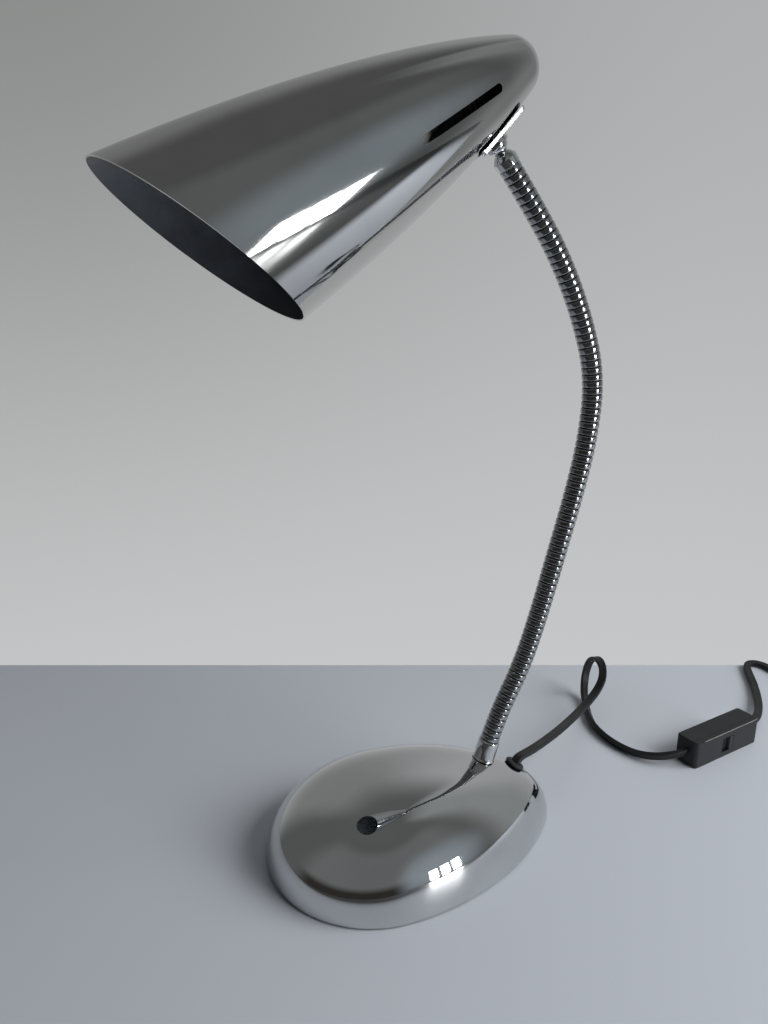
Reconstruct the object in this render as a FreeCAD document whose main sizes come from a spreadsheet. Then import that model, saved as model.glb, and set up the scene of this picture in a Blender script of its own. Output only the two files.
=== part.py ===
import FreeCAD, Part
import math
import os
import Sketcher
from FreeCAD import Placement, Rotation, Vector

# Desk lamp: a weighted pebble-shaped base, a ribbed flexible neck, and a bullet-shaped
# metal shade on a ball swivel, with a flat lead, an in-line rocker switch and a plug.
# Millimetres. The origin is on the table under the middle of the base, +Z is up,
# +X points from the middle of the base to the neck, and XZ is the base's mirror plane.

os.makedirs("parts", exist_ok=True)
doc = FreeCAD.newDocument("desk_lamp")
sheet = doc.addObject("Spreadsheet::Sheet", "sizes")

driving = {
    # base
    "base_length": 172.0, "base_width": 120.0, "base_nose_radius": 18.0,
    "base_height": 51.8, "rim_height": 1.0, "shell_wall": 1.2,
    "weight_thickness": 11.0, "plate_thickness": 1.0,
    "pad_thickness": 1.5, "pad_inset": 4.0, "base_fit": 0.3,
    "plate_screw_radius": 1.75, "plate_screw_head": 3.2, "plate_screw_length": 8.0,
    "neck_place_share": 0.250872, "grommet_place_share": 0.372093,
    # neck
    "neck_diameter": 11.0, "rib_depth": 0.6, "neck_bore": 5.5, "neck_length": 333.65,
    "joint_clearance": 0.1, "neck_tail": 8.0, "neck_top_tail": 3.8,
    "link_radius": 4.0, "link_bore": 1.8, "slide_fit": 0.05,
    "ferrule_radius": 6.2, "ferrule_flare": 0.4, "ferrule_height": 12.5, "ferrule_web": 0.6,
    "nipple_radius": 4.9, "nipple_bore": 3.5, "nipple_drop": 13.0, "nipple_grip": 3.6,
    "washer_radius": 8.5, "washer_thickness": 1.6, "nut_flats": 14.0, "nut_height": 5.0,
    # grommet and the lead inside the base
    "cord_width": 5.1, "grommet_radius": 5.8, "grommet_flange": 2.2, "grommet_body": 3.9,
    "grommet_lip": 4.9, "grommet_depth": 4.2, "stop_radius": 4.6, "stop_length": 6.0,
    "sheath_inside": 13.0, "core_radius": 1.1, "core_spacing": 2.6,
    # swivel
    "stem_length": 8.6, "upper_ferrule_radius": 6.0, "upper_ferrule_base": 2.9,
    "ball_radius": 5.5, "ball_bore": 2.2, "stud_radius": 2.9, "ball_to_ferrule": 4.9,
    "shoulder_radius": 3.5, "shoulder_height": 2.6,
    "collar_radius": 6.5, "collar_height": 2.3, "joint_plate_length": 31.0,
    "joint_plate_width": 14.0, "joint_plate_thickness": 1.8, "joint_plate_corner": 2.0,
    "joint_plate_offset": 4.5, "ball_depth": 0.4, "ball_play": 0.05,
    # shade
    "shade_length": 200.4, "shade_short_side": 155.0, "mouth_radius": 54.0,
    "shade_end_radius": 7.0, "shade_wall": 0.8, "swivel_place": 31.3,
    "slot_start": 28.7, "slot_end": 77.3, "slot_width": 4.0,
    # lampholder and bulb
    "strip_width": 12.0, "strip_thickness": 1.2, "strip_bend": 3.0,
    "clamp_screw_radius": 1.25, "clamp_screw_head": 2.3, "clamp_screw_head_height": 1.5,
    "clamp_screw_place": 8.7,
    "holder_place": 13.0, "holder_neck_radius": 4.9, "holder_bore": 3.0,
    "holder_radius": 13.0, "holder_back_radius": 9.5, "holder_length": 42.0,
    "holder_taper": 10.0, "holder_wall": 2.0, "holder_nut_height": 3.2,
    "skirt_radius": 14.4, "skirt_length": 16.0, "cap_radius": 6.9, "cap_length": 22.0,
    "bulb_radius": 22.5, "bulb_length": 78.0, "bulb_glass": 0.7,
    # switch
    "switch_length": 64.0, "switch_depth": 17.5, "switch_height": 19.0,
    "switch_cover_depth": 4.0, "switch_round": 2.6,
    "rocker_length": 11.0, "rocker_height": 10.0, "rocker_proud": 1.6, "rocker_depth": 3.0,
    "rocker_gap": 0.3, "rocker_pin": 0.9, "rocker_pin_length": 0.9,
    "switch_screw_radius": 1.4, "switch_screw_head": 2.4, "switch_screw_place": 22.0,
    # plug
    "plug_length": 34.0, "plug_width": 35.0, "plug_height": 13.8, "plug_waist": 17.0,
    "pin_spacing": 18.6, "pin_radius": 2.0, "pin_length": 19.0, "pin_root": 4.0,
    "pin_neck_radius": 1.7, "pin_step": 0.3,
    "boot_length": 14.0, "boot_radius": 5.2, "boot_tip": 3.6,
    # coil of the lead
    "coil_inner_radius": 19.6, "coil_pitch": 5.7, "coil_layer": 5.7, "coil_dip": 1.5,
    "tie_width": 6.0, "tie_thickness": 0.8,
    # one overrun for every cut, and the unit that the lead's layout is drawn in
    "overrun": 5.0, "layout_unit": 1.0,
}
for row, (alias, value) in enumerate(driving.items(), start=1):
    sheet.set(f"A{row}", alias)
    sheet.set(f"B{row}", str(value))
    sheet.setAlias(f"B{row}", alias)
doc.recompute()

# angles in degrees, counts, and shapes of curves
neck_headings = [25.23, 16.43, 14.03, 14.53, 11.53, 2.43, -18.67, -27.27, -35.97, -38.67]
neck_segments = len(neck_headings)
ribs_per_segment = 9
neck_bend_limit = 16.0
rib_shares = ((0.03, 0.0), (0.16, 1.0), (0.84, 1.0), (0.97, 0.0))
head_yaw, head_pitch, head_roll = -2.4, 28.8, 13.3
slot_angle = 66.8
dome_rise_power = 2.25
dome_layers = 9
profile_power, profile_swell, profile_start_share = 0.732, 0.346, 0.0745
profile_shares = (0.03, 0.08, 0.16, 0.3, 0.5, 0.75, 1.0)
coil_turns = 3
coil_start_angle = 180.0
coil_extra_share = 0.25
switch_turn = 11.64
plug_turn = 194.0
rocker_rest = 5.5
rocker_side_slope = 7.0
nut_corner_count = 6


def size(alias):
    return float(sheet.get(alias))


def expression(text):
    return float(sheet.evalExpression(text))


neck_place = size("base_length") * size("neck_place_share")
grommet_place = size("base_length") * size("grommet_place_share")


def spot_on_table(x, y, z):
    """A point of the lead's layout, drawn from the mirror plane under the grommet."""
    return Vector(x, y, z) * size("layout_unit") + Vector(grommet_place, 0, 0)


# where the switch, the coil and the plug lie
switch_middle = spot_on_table(167.6, 16.2, 0)
coil_middle = spot_on_table(327.0, 60.0, 0)
plug_front = spot_on_table(287.0, -28.2, 0)


def keep(label, shape, placement=None):
    """A sub-part whose shape comes from Part's own functions."""
    part = doc.addObject("Part::Feature", label)
    part.Label = label
    part.Shape = shape
    if placement is not None:
        part.Placement = placement
    return part


def outline_sketch(body, role, points):
    """A closed outline whose corners are bound to the sheet by expressions."""
    plane = [item for item in body.Origin.OriginFeatures if item.Role == role][0]
    sketch = body.newObject("Sketcher::SketchObject", body.Name + "_outline")
    sketch.AttachmentSupport = [(plane, "")]
    sketch.MapMode = "FlatFace"
    doc.recompute()
    corners = [Vector(expression(x), expression(y), 0) for x, y in points]
    for index, corner in enumerate(corners):
        sketch.addGeometry(Part.LineSegment(corner, corners[(index + 1) % len(corners)]), False)
    for index in range(len(corners)):
        sketch.addConstraint(Sketcher.Constraint("Coincident", index, 2, (index + 1) % len(corners), 1))
    for index, (x, y) in enumerate(points):
        for kind, text, value in (("DistanceX", x, corners[index].x), ("DistanceY", y, corners[index].y)):
            number = sketch.addConstraint(Sketcher.Constraint(kind, -1, 1, index, 1, value))
            sketch.setExpression(f"Constraints[{number}]", text)
    return sketch


def turned(label, points, placement=None):
    """A turned piece: an outline of (radius, height) spun about the local Z axis."""
    body = doc.addObject("PartDesign::Body", label)
    body.Label = label
    sketch = outline_sketch(body, "XZ_Plane", [(shorten(x), shorten(z)) for x, z in points])
    spin = body.newObject("PartDesign::Revolution", label + "_turning")
    spin.Profile = sketch
    spin.ReferenceAxis = (sketch, ["V_Axis"])
    spin.Angle = 360
    if placement is not None:
        body.Placement = placement
    return body


def shorten(text):
    """Puts the sheet's name before each alias in an expression."""
    words = []
    for word in text.split():
        words.append("sizes." + word if word in driving else word)
    return " ".join(words)


def primitive(kind, label, placement=None, **bound):
    """A Part primitive with its properties bound to the sheet."""
    item = doc.addObject(kind, label)
    item.Label = label
    for name, text in bound.items():
        item.setExpression(name, shorten(text))
    if placement is not None:
        item.Placement = placement
    return item


def cut(label, base, tool):
    result = doc.addObject("Part::Cut", label)
    result.Label = label
    result.Base = base
    result.Tool = tool
    return result


def joined(label, items):
    result = doc.addObject("Part::MultiFuse", label)
    result.Label = label
    result.Shapes = items
    return result


def frame(origin, x_axis, z_axis):
    return Placement(origin, Rotation(x_axis, Vector(), z_axis, "ZXY"))


def straight(start, end):
    return Part.LineSegment(start, end).toShape()


def ring(place, radius):
    edge = Part.Circle(Vector(), Vector(0, 0, 1), radius).toShape()
    edge.Placement = place
    return Part.Wire([edge])


def route_wire(points, share=0.45):
    """Straight runs joined by tangent arcs, each as large as its two runs allow."""
    edges = []
    radii = []
    last = points[0]
    for before, corner, after in zip(points, points[1:], points[2:]):
        first = (before - corner).normalize()
        second = (after - corner).normalize()
        reach = share * min((before - corner).Length, (after - corner).Length)
        half = (math.pi - first.getAngle(second)) / 2
        radius = reach / math.tan(half)
        start = corner + first * reach
        end = corner + second * reach
        inward = (first + second).normalize()
        middle = corner + inward * (radius / math.cos(half) - radius)
        edges.append(straight(last, start))
        edges.append(Part.Arc(start, middle, end).toShape())
        radii.append(round(radius, 1))
        last = end
    edges.append(straight(last, points[-1]))
    return Part.Wire(edges), radii


def swept(wire, radius):
    """A round tube along a wire, checked against its section times its length."""
    edge = wire.Edges[0]
    start = edge.valueAt(edge.FirstParameter)
    along = edge.tangentAt(edge.FirstParameter)
    profile = Part.Wire([Part.Circle(start, along, radius).toShape()])
    tube = wire.makePipeShell([profile], True, False)
    share = tube.Volume / (math.pi * radius ** 2 * wire.Length)
    if abs(share - 1) > 0.01:
        raise ValueError(f"a tube's volume is {share:.3f} of its section times its length")
    return tube


# base: every layer of the dome is the same pebble outline, drawn in towards the top

def pebble(length, width, nose, height, share):
    """Four tangent arcs: a half circle in front, a small nose at the rear, two sides."""
    front = width / 2
    front_x = front - length / 2
    nose_x = length / 2 - nose
    apart = nose_x - front_x
    side = (apart ** 2 + front ** 2 - nose ** 2) / (2 * (front - nose))
    turn = math.asin(apart / (side - nose))
    middle_y = front - side

    def on(x, y, radius, angle):
        spot = Vector(x + radius * math.sin(angle), y + radius * math.cos(angle), 0)
        return Vector(spot.x * share, spot.y * share, height)

    def flip(spot):
        return Vector(spot.x, -spot.y, spot.z)

    top = on(front_x, 0, front, 0)
    left = on(front_x, 0, front, -math.pi / 2)
    side_middle = on(front_x, middle_y, side, turn / 2)
    meet = on(nose_x, 0, nose, turn)
    tip = on(nose_x, 0, nose, math.pi / 2)
    arcs = [Part.Arc(top, side_middle, meet), Part.Arc(meet, tip, flip(meet)),
            Part.Arc(flip(meet), flip(side_middle), flip(top)), Part.Arc(flip(top), left, top)]
    return Part.Wire([arc.toShape() for arc in arcs])


dome_rise = size("base_height") - size("rim_height")


def dome_height(place, inset=0.0):
    """The height of the dome over a point of the mirror plane."""
    share = min(abs(place) / (size("base_length") / 2 - inset), 1.0)
    return size("rim_height") + (dome_rise - inset) * (1 - share ** 2) ** (1 / dome_rise_power)


def dome(inset, low, top_share=1.0):
    """The dome drawn in by a wall, from a height up to a share of its rise."""
    rise = dome_rise - inset
    start = math.asin(max((low - size("rim_height")) / rise, 0.0) ** (dome_rise_power / 2))
    end = math.asin(min(top_share, last_layer_share) ** (dome_rise_power / 2))
    wires = []
    for layer in range(dome_layers):
        angle = start + (end - start) * layer / (dome_layers - 1)
        height = size("rim_height") + rise * math.sin(angle) ** (2 / dome_rise_power)
        wires.append(pebble(size("base_length") - 2 * inset, size("base_width") - 2 * inset,
                            size("base_nose_radius") - inset, height, math.cos(angle)))
    return Part.makeLoft(wires, True, False)


last_layer_share = 0.9985


def slab(inset, low, thickness):
    """A flat pebble-shaped plate."""
    wire = pebble(size("base_length") - 2 * inset, size("base_width") - 2 * inset,
                  size("base_nose_radius") - inset, low, 1.0)
    return Part.Face(wire).extrude(Vector(0, 0, thickness))


def dome_frame(place):
    """A frame on the dome's skin, with Z along its outward normal."""
    step = size("base_length") / 1000
    slope = math.atan2(dome_height(place - step) - dome_height(place + step), 2 * step)
    normal = Vector(math.sin(slope), 0, math.cos(slope))
    return frame(Vector(place, 0, dome_height(place)), Vector(normal.z, 0, -normal.x), normal), slope


foot_frame, foot_slope = dome_frame(neck_place)
grommet_frame, grommet_slope = dome_frame(grommet_place)


def drill(place, radius, length):
    """A round cutter centred on a frame's origin and running both ways along its Z."""
    tool = Part.makeCylinder(radius, 2 * length, Vector(0, 0, -length))
    tool.Placement = place
    return tool


wall = size("shell_wall")
plate_low = size("pad_thickness")
weight_low = plate_low + size("plate_thickness")
weight_top = weight_low + size("weight_thickness")
shell = dome(0.0, size("rim_height")).cut(dome(wall, size("rim_height")))
shell = shell.cut(drill(foot_frame, size("nipple_radius") + size("slide_fit"), size("overrun")))
shell = shell.cut(drill(grommet_frame, size("grommet_body") + size("slide_fit"), size("overrun")))
keep("base_shell", shell)

plate_inset = wall + size("base_fit")
screw_places = [Vector(share_x * size("base_length"), share_y * size("base_width"), 0)
                for share_x, share_y in ((-0.3, 0.25), (-0.3, -0.25), (0.28, 0.0))]
plate = slab(plate_inset + size("rim_height"), plate_low, size("plate_thickness"))
weight_share = (weight_top - size("rim_height")) / (dome_rise - plate_inset)
weight = dome(plate_inset, weight_low, weight_share)
for spot in screw_places:
    place = Placement(spot + Vector(0, 0, weight_low), Rotation())
    plate = plate.cut(drill(place, size("plate_screw_radius") + size("slide_fit"), size("overrun")))
    deep = size("plate_screw_length") + size("base_fit") - size("plate_thickness")
    hole = Part.makeCylinder(size("plate_screw_radius") + size("slide_fit"), deep, place.Base)
    weight = weight.cut(hole)
keep("bottom_plate", plate)
keep("base_weight", weight)
pad = slab(size("pad_inset"), 0, size("pad_thickness"))
screws = []
for spot in screw_places:
    head_low = Vector(0, 0, plate_low - size("plate_thickness"))
    pocket = Part.makeCylinder(size("plate_screw_head") + size("base_fit"), size("pad_thickness"),
                               spot + head_low)
    pad = pad.cut(pocket)
    head = Part.makeCylinder(size("plate_screw_head"), size("plate_thickness"), spot + head_low)
    shank = Part.makeCylinder(size("plate_screw_radius"), size("plate_screw_length"),
                              spot + Vector(0, 0, plate_low))
    screws.append(head.fuse(shank))
keep("base_pad", pad)
keep("plate_screws", Part.makeCompound(screws))

# foot of the neck: nipple through the dome, washer and nut inside, ferrule outside
turned("neck_nipple", [("nipple_bore", "0 - nipple_drop"), ("nipple_radius", "0 - nipple_drop"),
                       ("nipple_radius", "nipple_grip"), ("nipple_bore", "nipple_grip")], foot_frame)
sag = 2.4 * size("washer_radius") ** 2 / size("base_width")
washer_top = -wall - sag
washer_frame = foot_frame * Placement(Vector(0, 0, washer_top - size("washer_thickness")), Rotation())
turned("neck_washer", [("nipple_radius + slide_fit", "0"), ("washer_radius", "0"),
                       ("washer_radius", "washer_thickness"),
                       ("nipple_radius + slide_fit", "washer_thickness")], washer_frame)
nut_frame = washer_frame * Placement(Vector(0, 0, -size("nut_height")), Rotation())
nut_blank = doc.addObject("Part::Prism", "neck_nut_blank")
nut_blank.Polygon = nut_corner_count
nut_blank.setExpression("Circumradius", shorten("nut_flats / 1.7320508"))
nut_blank.setExpression("Height", shorten("nut_height"))
nut_hole = primitive("Part::Cylinder", "neck_nut_hole", Radius="nipple_radius + slide_fit",
                     Height="nut_height")
cut("neck_nut", nut_blank, nut_hole).Placement = nut_frame
turned("lower_ferrule",
       [("nipple_radius + slide_fit", "slide_fit"), ("ferrule_radius + ferrule_flare", "slide_fit"),
        ("ferrule_radius + ferrule_flare", "ferrule_flare"), ("ferrule_radius", "ferrule_flare * 4"),
        ("ferrule_radius", "ferrule_height - ferrule_flare"),
        ("ferrule_radius - ferrule_flare", "ferrule_height"),
        ("neck_diameter / 2 - rib_depth + slide_fit", "ferrule_height"),
        ("neck_diameter / 2 - rib_depth + slide_fit", "nipple_grip + ferrule_web"),
        ("nipple_bore", "nipple_grip + ferrule_web"), ("nipple_bore", "nipple_grip + slide_fit"),
        ("nipple_radius + slide_fit", "nipple_grip + slide_fit")], foot_frame)

# neck: a chain of arcs in the mirror plane, each a ribbed length of the flexible tube
neck_start = foot_frame.multVec(Vector(0, 0, size("ferrule_height")))
segment_length = size("neck_length") / neck_segments
headings = [math.degrees(foot_slope)] + neck_headings


def neck_frame(distance):
    """The frame on the neck's centre line at a distance from the lower ferrule."""
    x, z = neck_start.x, neck_start.z
    left = distance
    heading = math.radians(headings[0])
    for index in range(neck_segments):
        run = min(left, segment_length) if index < neck_segments - 1 else left
        first = math.radians(headings[index])
        turn = (math.radians(headings[index + 1]) - first) * run / segment_length
        heading = first + turn
        if abs(turn) > 1e-9:
            x += run / turn * (math.cos(first) - math.cos(heading))
            z += run / turn * (math.sin(heading) - math.sin(first))
        else:
            x += run * math.sin(first)
            z += run * math.cos(first)
        left -= run
        if left <= 0:
            break
    return Placement(Vector(x, 0, z), Rotation(Vector(0, 1, 0), math.degrees(heading)))


crest = size("neck_diameter") / 2
valley = crest - size("rib_depth")
joint_gap = 2 * crest * math.tan(math.radians(neck_bend_limit / 2)) + size("joint_clearance")


def neck_segment(index):
    """Ribs as ruled bands through four circles each, round a straight-through bore."""
    start = index * segment_length + (joint_gap / 2 if index else 0.0)
    end = (index + 1) * segment_length - (joint_gap / 2 if index < neck_segments - 1 else 0.0)
    pitch = (end - start) / ribs_per_segment
    rings = []
    for rib in range(ribs_per_segment):
        for along_share, height_share in rib_shares:
            place = neck_frame(start + (rib + along_share) * pitch)
            rings.append(ring(place, valley + height_share * size("rib_depth")))
    rings.insert(0, ring(neck_frame(start), valley))
    rings.append(ring(neck_frame(end), valley))
    if index == 0:
        tail = neck_frame(0.0) * Placement(Vector(0, 0, -size("neck_tail")), Rotation())
        rings.insert(0, ring(tail, valley))
    if index == neck_segments - 1:
        tail = neck_frame(end) * Placement(Vector(0, 0, size("neck_top_tail")), Rotation())
        rings.append(ring(tail, valley))
    bore = Part.makeLoft([ring(neck_frame(start + (end - start) * step / ribs_per_segment),
                               size("neck_bore") / 2) for step in range(ribs_per_segment + 1)], True, True)
    ribbed = Part.makeLoft(rings, True, True).cut(bore)
    for place, sign in ((neck_frame(start), -1), (neck_frame(end), 1)):
        end_bore = Part.makeCylinder(size("neck_bore") / 2, 2 * size("neck_tail"))
        if sign < 0:
            place = place * Placement(Vector(), Rotation(Vector(1, 0, 0), 180))
        end_bore.Placement = place
        ribbed = ribbed.cut(end_bore)
    if index < neck_segments - 1:
        socket = Part.makeSphere(size("link_radius") + size("slide_fit"))
        socket.Placement = neck_frame((index + 1) * segment_length)
        ribbed = ribbed.cut(socket)
    if index:
        ribbed = ribbed.fuse(link(index))
    return ribbed


def link(index):
    """A hollow ball on the lower end of a length, seated in the length below."""
    place = neck_frame(index * segment_length)
    ball = Part.makeSphere(size("link_radius"))
    ball.Placement = place
    plug = Part.makeCylinder(size("neck_bore") / 2, size("link_radius"))
    plug.Placement = place
    hollow = Part.makeCylinder(size("link_bore"), 4 * size("link_radius"),
                               Vector(0, 0, -2 * size("link_radius")))
    hollow.Placement = place
    return ball.fuse(plug).cut(hollow)


for index in range(neck_segments):
    keep(f"neck_segment_{index + 1:02d}", neck_segment(index))

# swivel: the upper ferrule carries a ball stud, and the shade turns on the ball
neck_end = neck_frame(size("neck_length"))
ball_frame = neck_end * Placement(Vector(0, 0, size("stem_length") + size("upper_ferrule_base")), Rotation())
ferrule_low = "0 - upper_ferrule_base - stem_length"
turned("upper_ferrule",
       [("neck_diameter / 2 - rib_depth + slide_fit", ferrule_low),
        ("upper_ferrule_radius", ferrule_low),
        ("upper_ferrule_radius", "0 - ball_to_ferrule - shoulder_height"),
        ("shoulder_radius", "0 - ball_to_ferrule"), ("ball_bore + slide_fit", "0 - ball_to_ferrule"),
        ("ball_bore + slide_fit", "neck_top_tail + slide_fit - upper_ferrule_base - stem_length"),
        ("neck_diameter / 2 - rib_depth + slide_fit",
         "neck_top_tail + slide_fit - upper_ferrule_base - stem_length")], ball_frame)

ball = Part.makeSphere(size("ball_radius"))
stud = Part.makeCylinder(size("stud_radius"), size("ball_to_ferrule") - size("slide_fit"),
                         Vector(0, 0, size("slide_fit") - size("ball_to_ferrule")))
limit = Part.makeCylinder(2 * size("ball_radius"), 2 * size("ball_radius"),
                          Vector(0, 0, size("slide_fit") - size("ball_to_ferrule")))
ball = ball.common(limit).fuse(stud)
ball_way = Part.makeCylinder(size("ball_bore"), 4 * size("ball_radius"),
                             Vector(0, 0, -2 * size("ball_radius")))
ball = ball.cut(ball_way)
keep("swivel_ball", ball, ball_frame)
stem_way = ball_frame.Rotation.multVec(Vector(0, 0, 1))

# shade: a bullet profile spun about the local X axis, which runs from the closed end to the mouth
profile_start = profile_start_share * size("shade_length")


def shade_radius(along):
    reach = (along + profile_start) / (size("shade_length") + profile_start)
    return size("mouth_radius") * reach ** profile_power * (1 + profile_swell * (1 - reach))


def shade_blank(inset):
    """The closed bullet, smaller by a wall, running on past the mouth."""
    end = size("shade_length") + size("overrun")
    spots = [Vector(inset, size("shade_end_radius") - inset, 0)]
    corner = Vector(inset, 0, 0)
    for share in profile_shares:
        along = share * end
        spots.append(Vector(along, shade_radius(along) - inset, 0))
    curve = Part.BSplineCurve()
    curve.interpolate(spots)
    last = spots[-1]
    edges = [straight(corner, spots[0]), curve.toShape(),
             straight(last, Vector(last.x, 0, 0)), straight(Vector(last.x, 0, 0), corner)]
    face = Part.Face(Part.Wire(edges))
    return face.revolve(Vector(), Vector(1, 0, 0), 360)


mouth_slope = math.atan2(size("shade_length") - size("shade_short_side"),
                         shade_radius(size("shade_length")) + shade_radius(size("shade_short_side")))
mouth_side = 6 * size("mouth_radius")
mouth_cutter = Part.makeBox(mouth_side, mouth_side, mouth_side, Vector(0, -mouth_side / 2, -mouth_side / 2))
mouth_cutter.Placement = Placement(
    Vector(size("shade_length"), 0, shade_radius(size("shade_length"))),
    Rotation(Vector(0, 1, 0), math.degrees(mouth_slope)))
shade = shade_blank(0.0).cut(shade_blank(size("shade_wall"))).cut(mouth_cutter)

slot_run = size("slot_end") - size("slot_start")
slot_radius = size("slot_width") / 2
for side in (1, -1):
    slot = Part.makeBox(slot_run - 2 * slot_radius, size("slot_width"), size("mouth_radius"),
                        Vector(size("slot_start") + slot_radius, -slot_radius, 0))
    for end in (size("slot_start") + slot_radius, size("slot_end") - slot_radius):
        slot = slot.fuse(Part.makeCylinder(slot_radius, size("mouth_radius"), Vector(end, 0, 0)))
    slot.Placement = Placement(Vector(), Rotation(Vector(1, 0, 0), 180 + side * slot_angle))
    shade = shade.cut(slot)

# the swivel's seat on the underside of the shade, in the shade's own frame
step = size("shade_length") / 1000
seat_x = size("swivel_place")
seat_slope = math.atan2(shade_radius(seat_x + step) - shade_radius(seat_x - step), 2 * step)
seat_out = Vector(-math.sin(seat_slope), 0, -math.cos(seat_slope))
seat_along = Vector(math.cos(seat_slope), 0, -math.sin(seat_slope))
seat_skin = Vector(seat_x, 0, -shade_radius(seat_x))
plate_middle = seat_skin + seat_out * size("joint_plate_thickness") / 2
ball_spot = plate_middle + seat_out * (size("joint_plate_thickness") / 2 + size("ball_depth")) \
    + seat_along * size("joint_plate_offset")
seat_frame = frame(ball_spot, seat_along, seat_out)
ball_hole = drill(seat_frame, size("ball_radius") + size("base_fit"), 2 * size("ball_radius"))
shade = shade.cut(ball_hole)
for side in (1, -1):
    place = seat_frame * Placement(Vector(side * size("clamp_screw_place"), 0, 0), Rotation())
    shade = shade.cut(drill(place, size("clamp_screw_radius") + size("slide_fit"), size("ball_radius") * 2))

head_turn = Rotation(Vector(0, 0, 1), 180 + head_yaw) * Rotation(Vector(0, 1, 0), head_pitch) \
    * Rotation(Vector(1, 0, 0), head_roll)
head_frame = Placement(ball_frame.Base - head_turn.multVec(ball_spot), head_turn)
swivel_frame = head_frame * seat_frame
keep("shade", shade, head_frame)

# joint plate, collar, and the sprung strip that presses the ball; local Z points out of the shade
plate_thick = size("joint_plate_thickness")
plate_start = Vector(-size("joint_plate_offset") - size("joint_plate_length") / 2,
                     -size("joint_plate_width") / 2, -size("ball_depth") - plate_thick)
joint_plate = Part.makeBox(size("joint_plate_length"), size("joint_plate_width"), plate_thick, plate_start)
upright_edges = [edge for edge in joint_plate.Edges if edge.BoundBox.ZLength > plate_thick / 2]
joint_plate = joint_plate.makeFillet(size("joint_plate_corner"), upright_edges)
socket = Part.makeSphere(size("ball_radius") + size("ball_play"))
joint_plate = joint_plate.cut(socket)
for side in (1, -1):
    screw_spot = Vector(side * size("clamp_screw_place"), 0, plate_start.z)
    hole = Part.makeCylinder(size("clamp_screw_radius") + size("slide_fit"), plate_thick, screw_spot)
    joint_plate = joint_plate.cut(hole)
keep("joint_plate", joint_plate, swivel_frame)
collar = Part.makeCylinder(size("collar_radius"), size("collar_height"),
                           Vector(0, 0, -size("ball_depth"))).cut(socket)
collar = collar.makeChamfer(size("slide_fit") * 6, [edge for edge in collar.Edges
                            if abs(edge.BoundBox.ZMax - size("collar_height") + size("ball_depth")) < step / 10
                            and edge.BoundBox.XMax > size("collar_radius") - step / 10])
keep("ball_collar", collar, swivel_frame)

# holder strip: the foot presses on the ball, the upright holds the lampholder's nipple
foot_drop = size("ball_radius") - size("strip_thickness") - size("ball_depth") / 2
foot_z = -foot_drop
foot_hole = math.sqrt((size("ball_radius") + size("ball_play")) ** 2 - foot_drop ** 2)
upright_x = size("holder_place")
strip_front = ball_spot.x + size("clamp_screw_place") + size("clamp_screw_head") + size("strip_bend")
foot_height = ball_spot + seat_out * foot_z
foot_back = upright_x + size("strip_thickness") / 2


def strip_solid():
    """A bent strip: its line in the shade's mirror plane, given a thickness and a width."""
    low = foot_height + seat_along * (size("clamp_screw_place") + size("clamp_screw_head") + size("strip_bend"))
    run = (low.x - foot_back) / seat_along.x
    corner = low - seat_along * run
    top = Vector(corner.x, 0, size("holder_neck_radius") + size("strip_bend"))
    bend = size("strip_bend")
    upward = (top - corner).normalize()
    forward = (low - corner).normalize()
    line = Part.Wire([straight(low, corner), straight(corner, top)])
    normal_out = seat_out * -1
    lift = normal_out * size("strip_thickness")
    inner_corner_z = corner.z + size("strip_thickness") / seat_along.x
    shift = Vector(size("strip_thickness"), 0, 0)
    inner = Vector(corner.x + shift.x, 0, inner_corner_z + shift.x * seat_along.z / seat_along.x)
    ring_points = [low, corner, top, top + shift, inner, low + lift, low]
    face = Part.makePolygon(ring_points)
    solid = Part.Face(face).extrude(Vector(0, size("strip_width"), 0))
    solid.translate(Vector(0, -size("strip_width") / 2, 0))
    return solid, corner


strip, strip_corner = strip_solid()
strip = strip.common(shade_blank(size("shade_wall") + size("base_fit")))
ball_clear = drill(seat_frame, foot_hole, 2 * size("ball_radius"))
strip = strip.cut(ball_clear)
for side in (1, -1):
    place = seat_frame * Placement(Vector(side * size("clamp_screw_place"), 0, 0), Rotation())
    strip = strip.cut(drill(place, size("clamp_screw_radius") + size("slide_fit"), size("ball_radius") * 2))
x_frame = Placement(Vector(strip_corner.x, 0, 0), Rotation(Vector(0, 1, 0), 90))
strip = strip.cut(drill(x_frame, size("holder_neck_radius") + size("slide_fit"), size("strip_bend")))
keep("holder_strip", strip, head_frame)

screws = []
for side in (1, -1):
    x = side * size("clamp_screw_place")
    head_z = foot_z - size("strip_thickness") - size("clamp_screw_head_height")
    head = Part.makeCylinder(size("clamp_screw_head"), size("clamp_screw_head_height"), Vector(x, 0, head_z))
    low = -size("ball_depth")
    shank = Part.makeCylinder(size("clamp_screw_radius"), low - head_z, Vector(x, 0, head_z))
    screws.append(head.fuse(shank))
keep("clamp_screws", Part.makeCompound(screws), swivel_frame)

# lampholder, its nut and shade ring, and the bulb, all on the shade's axis
axis_frame = head_frame * Placement(Vector(strip_corner.x, 0, 0), Rotation(Vector(0, 1, 0), 90))
turned("lampholder",
       [("holder_bore", "0 - holder_nut_height"), ("holder_neck_radius", "0 - holder_nut_height"),
        ("holder_neck_radius", "strip_thickness + slide_fit"),
        ("holder_back_radius", "strip_thickness + slide_fit"), ("holder_radius", "holder_taper"),
        ("holder_radius", "holder_length"), ("cap_radius + base_fit", "holder_length"),
        ("cap_radius + base_fit", "holder_length - cap_length - base_fit"),
        ("holder_bore", "holder_length - cap_length - base_fit")], axis_frame)
nut_blank = doc.addObject("Part::Prism", "holder_nut_blank")
nut_blank.Polygon = nut_corner_count
nut_blank.setExpression("Circumradius", shorten("nut_flats / 1.7320508"))
nut_blank.setExpression("Height", shorten("holder_nut_height - slide_fit"))
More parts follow.
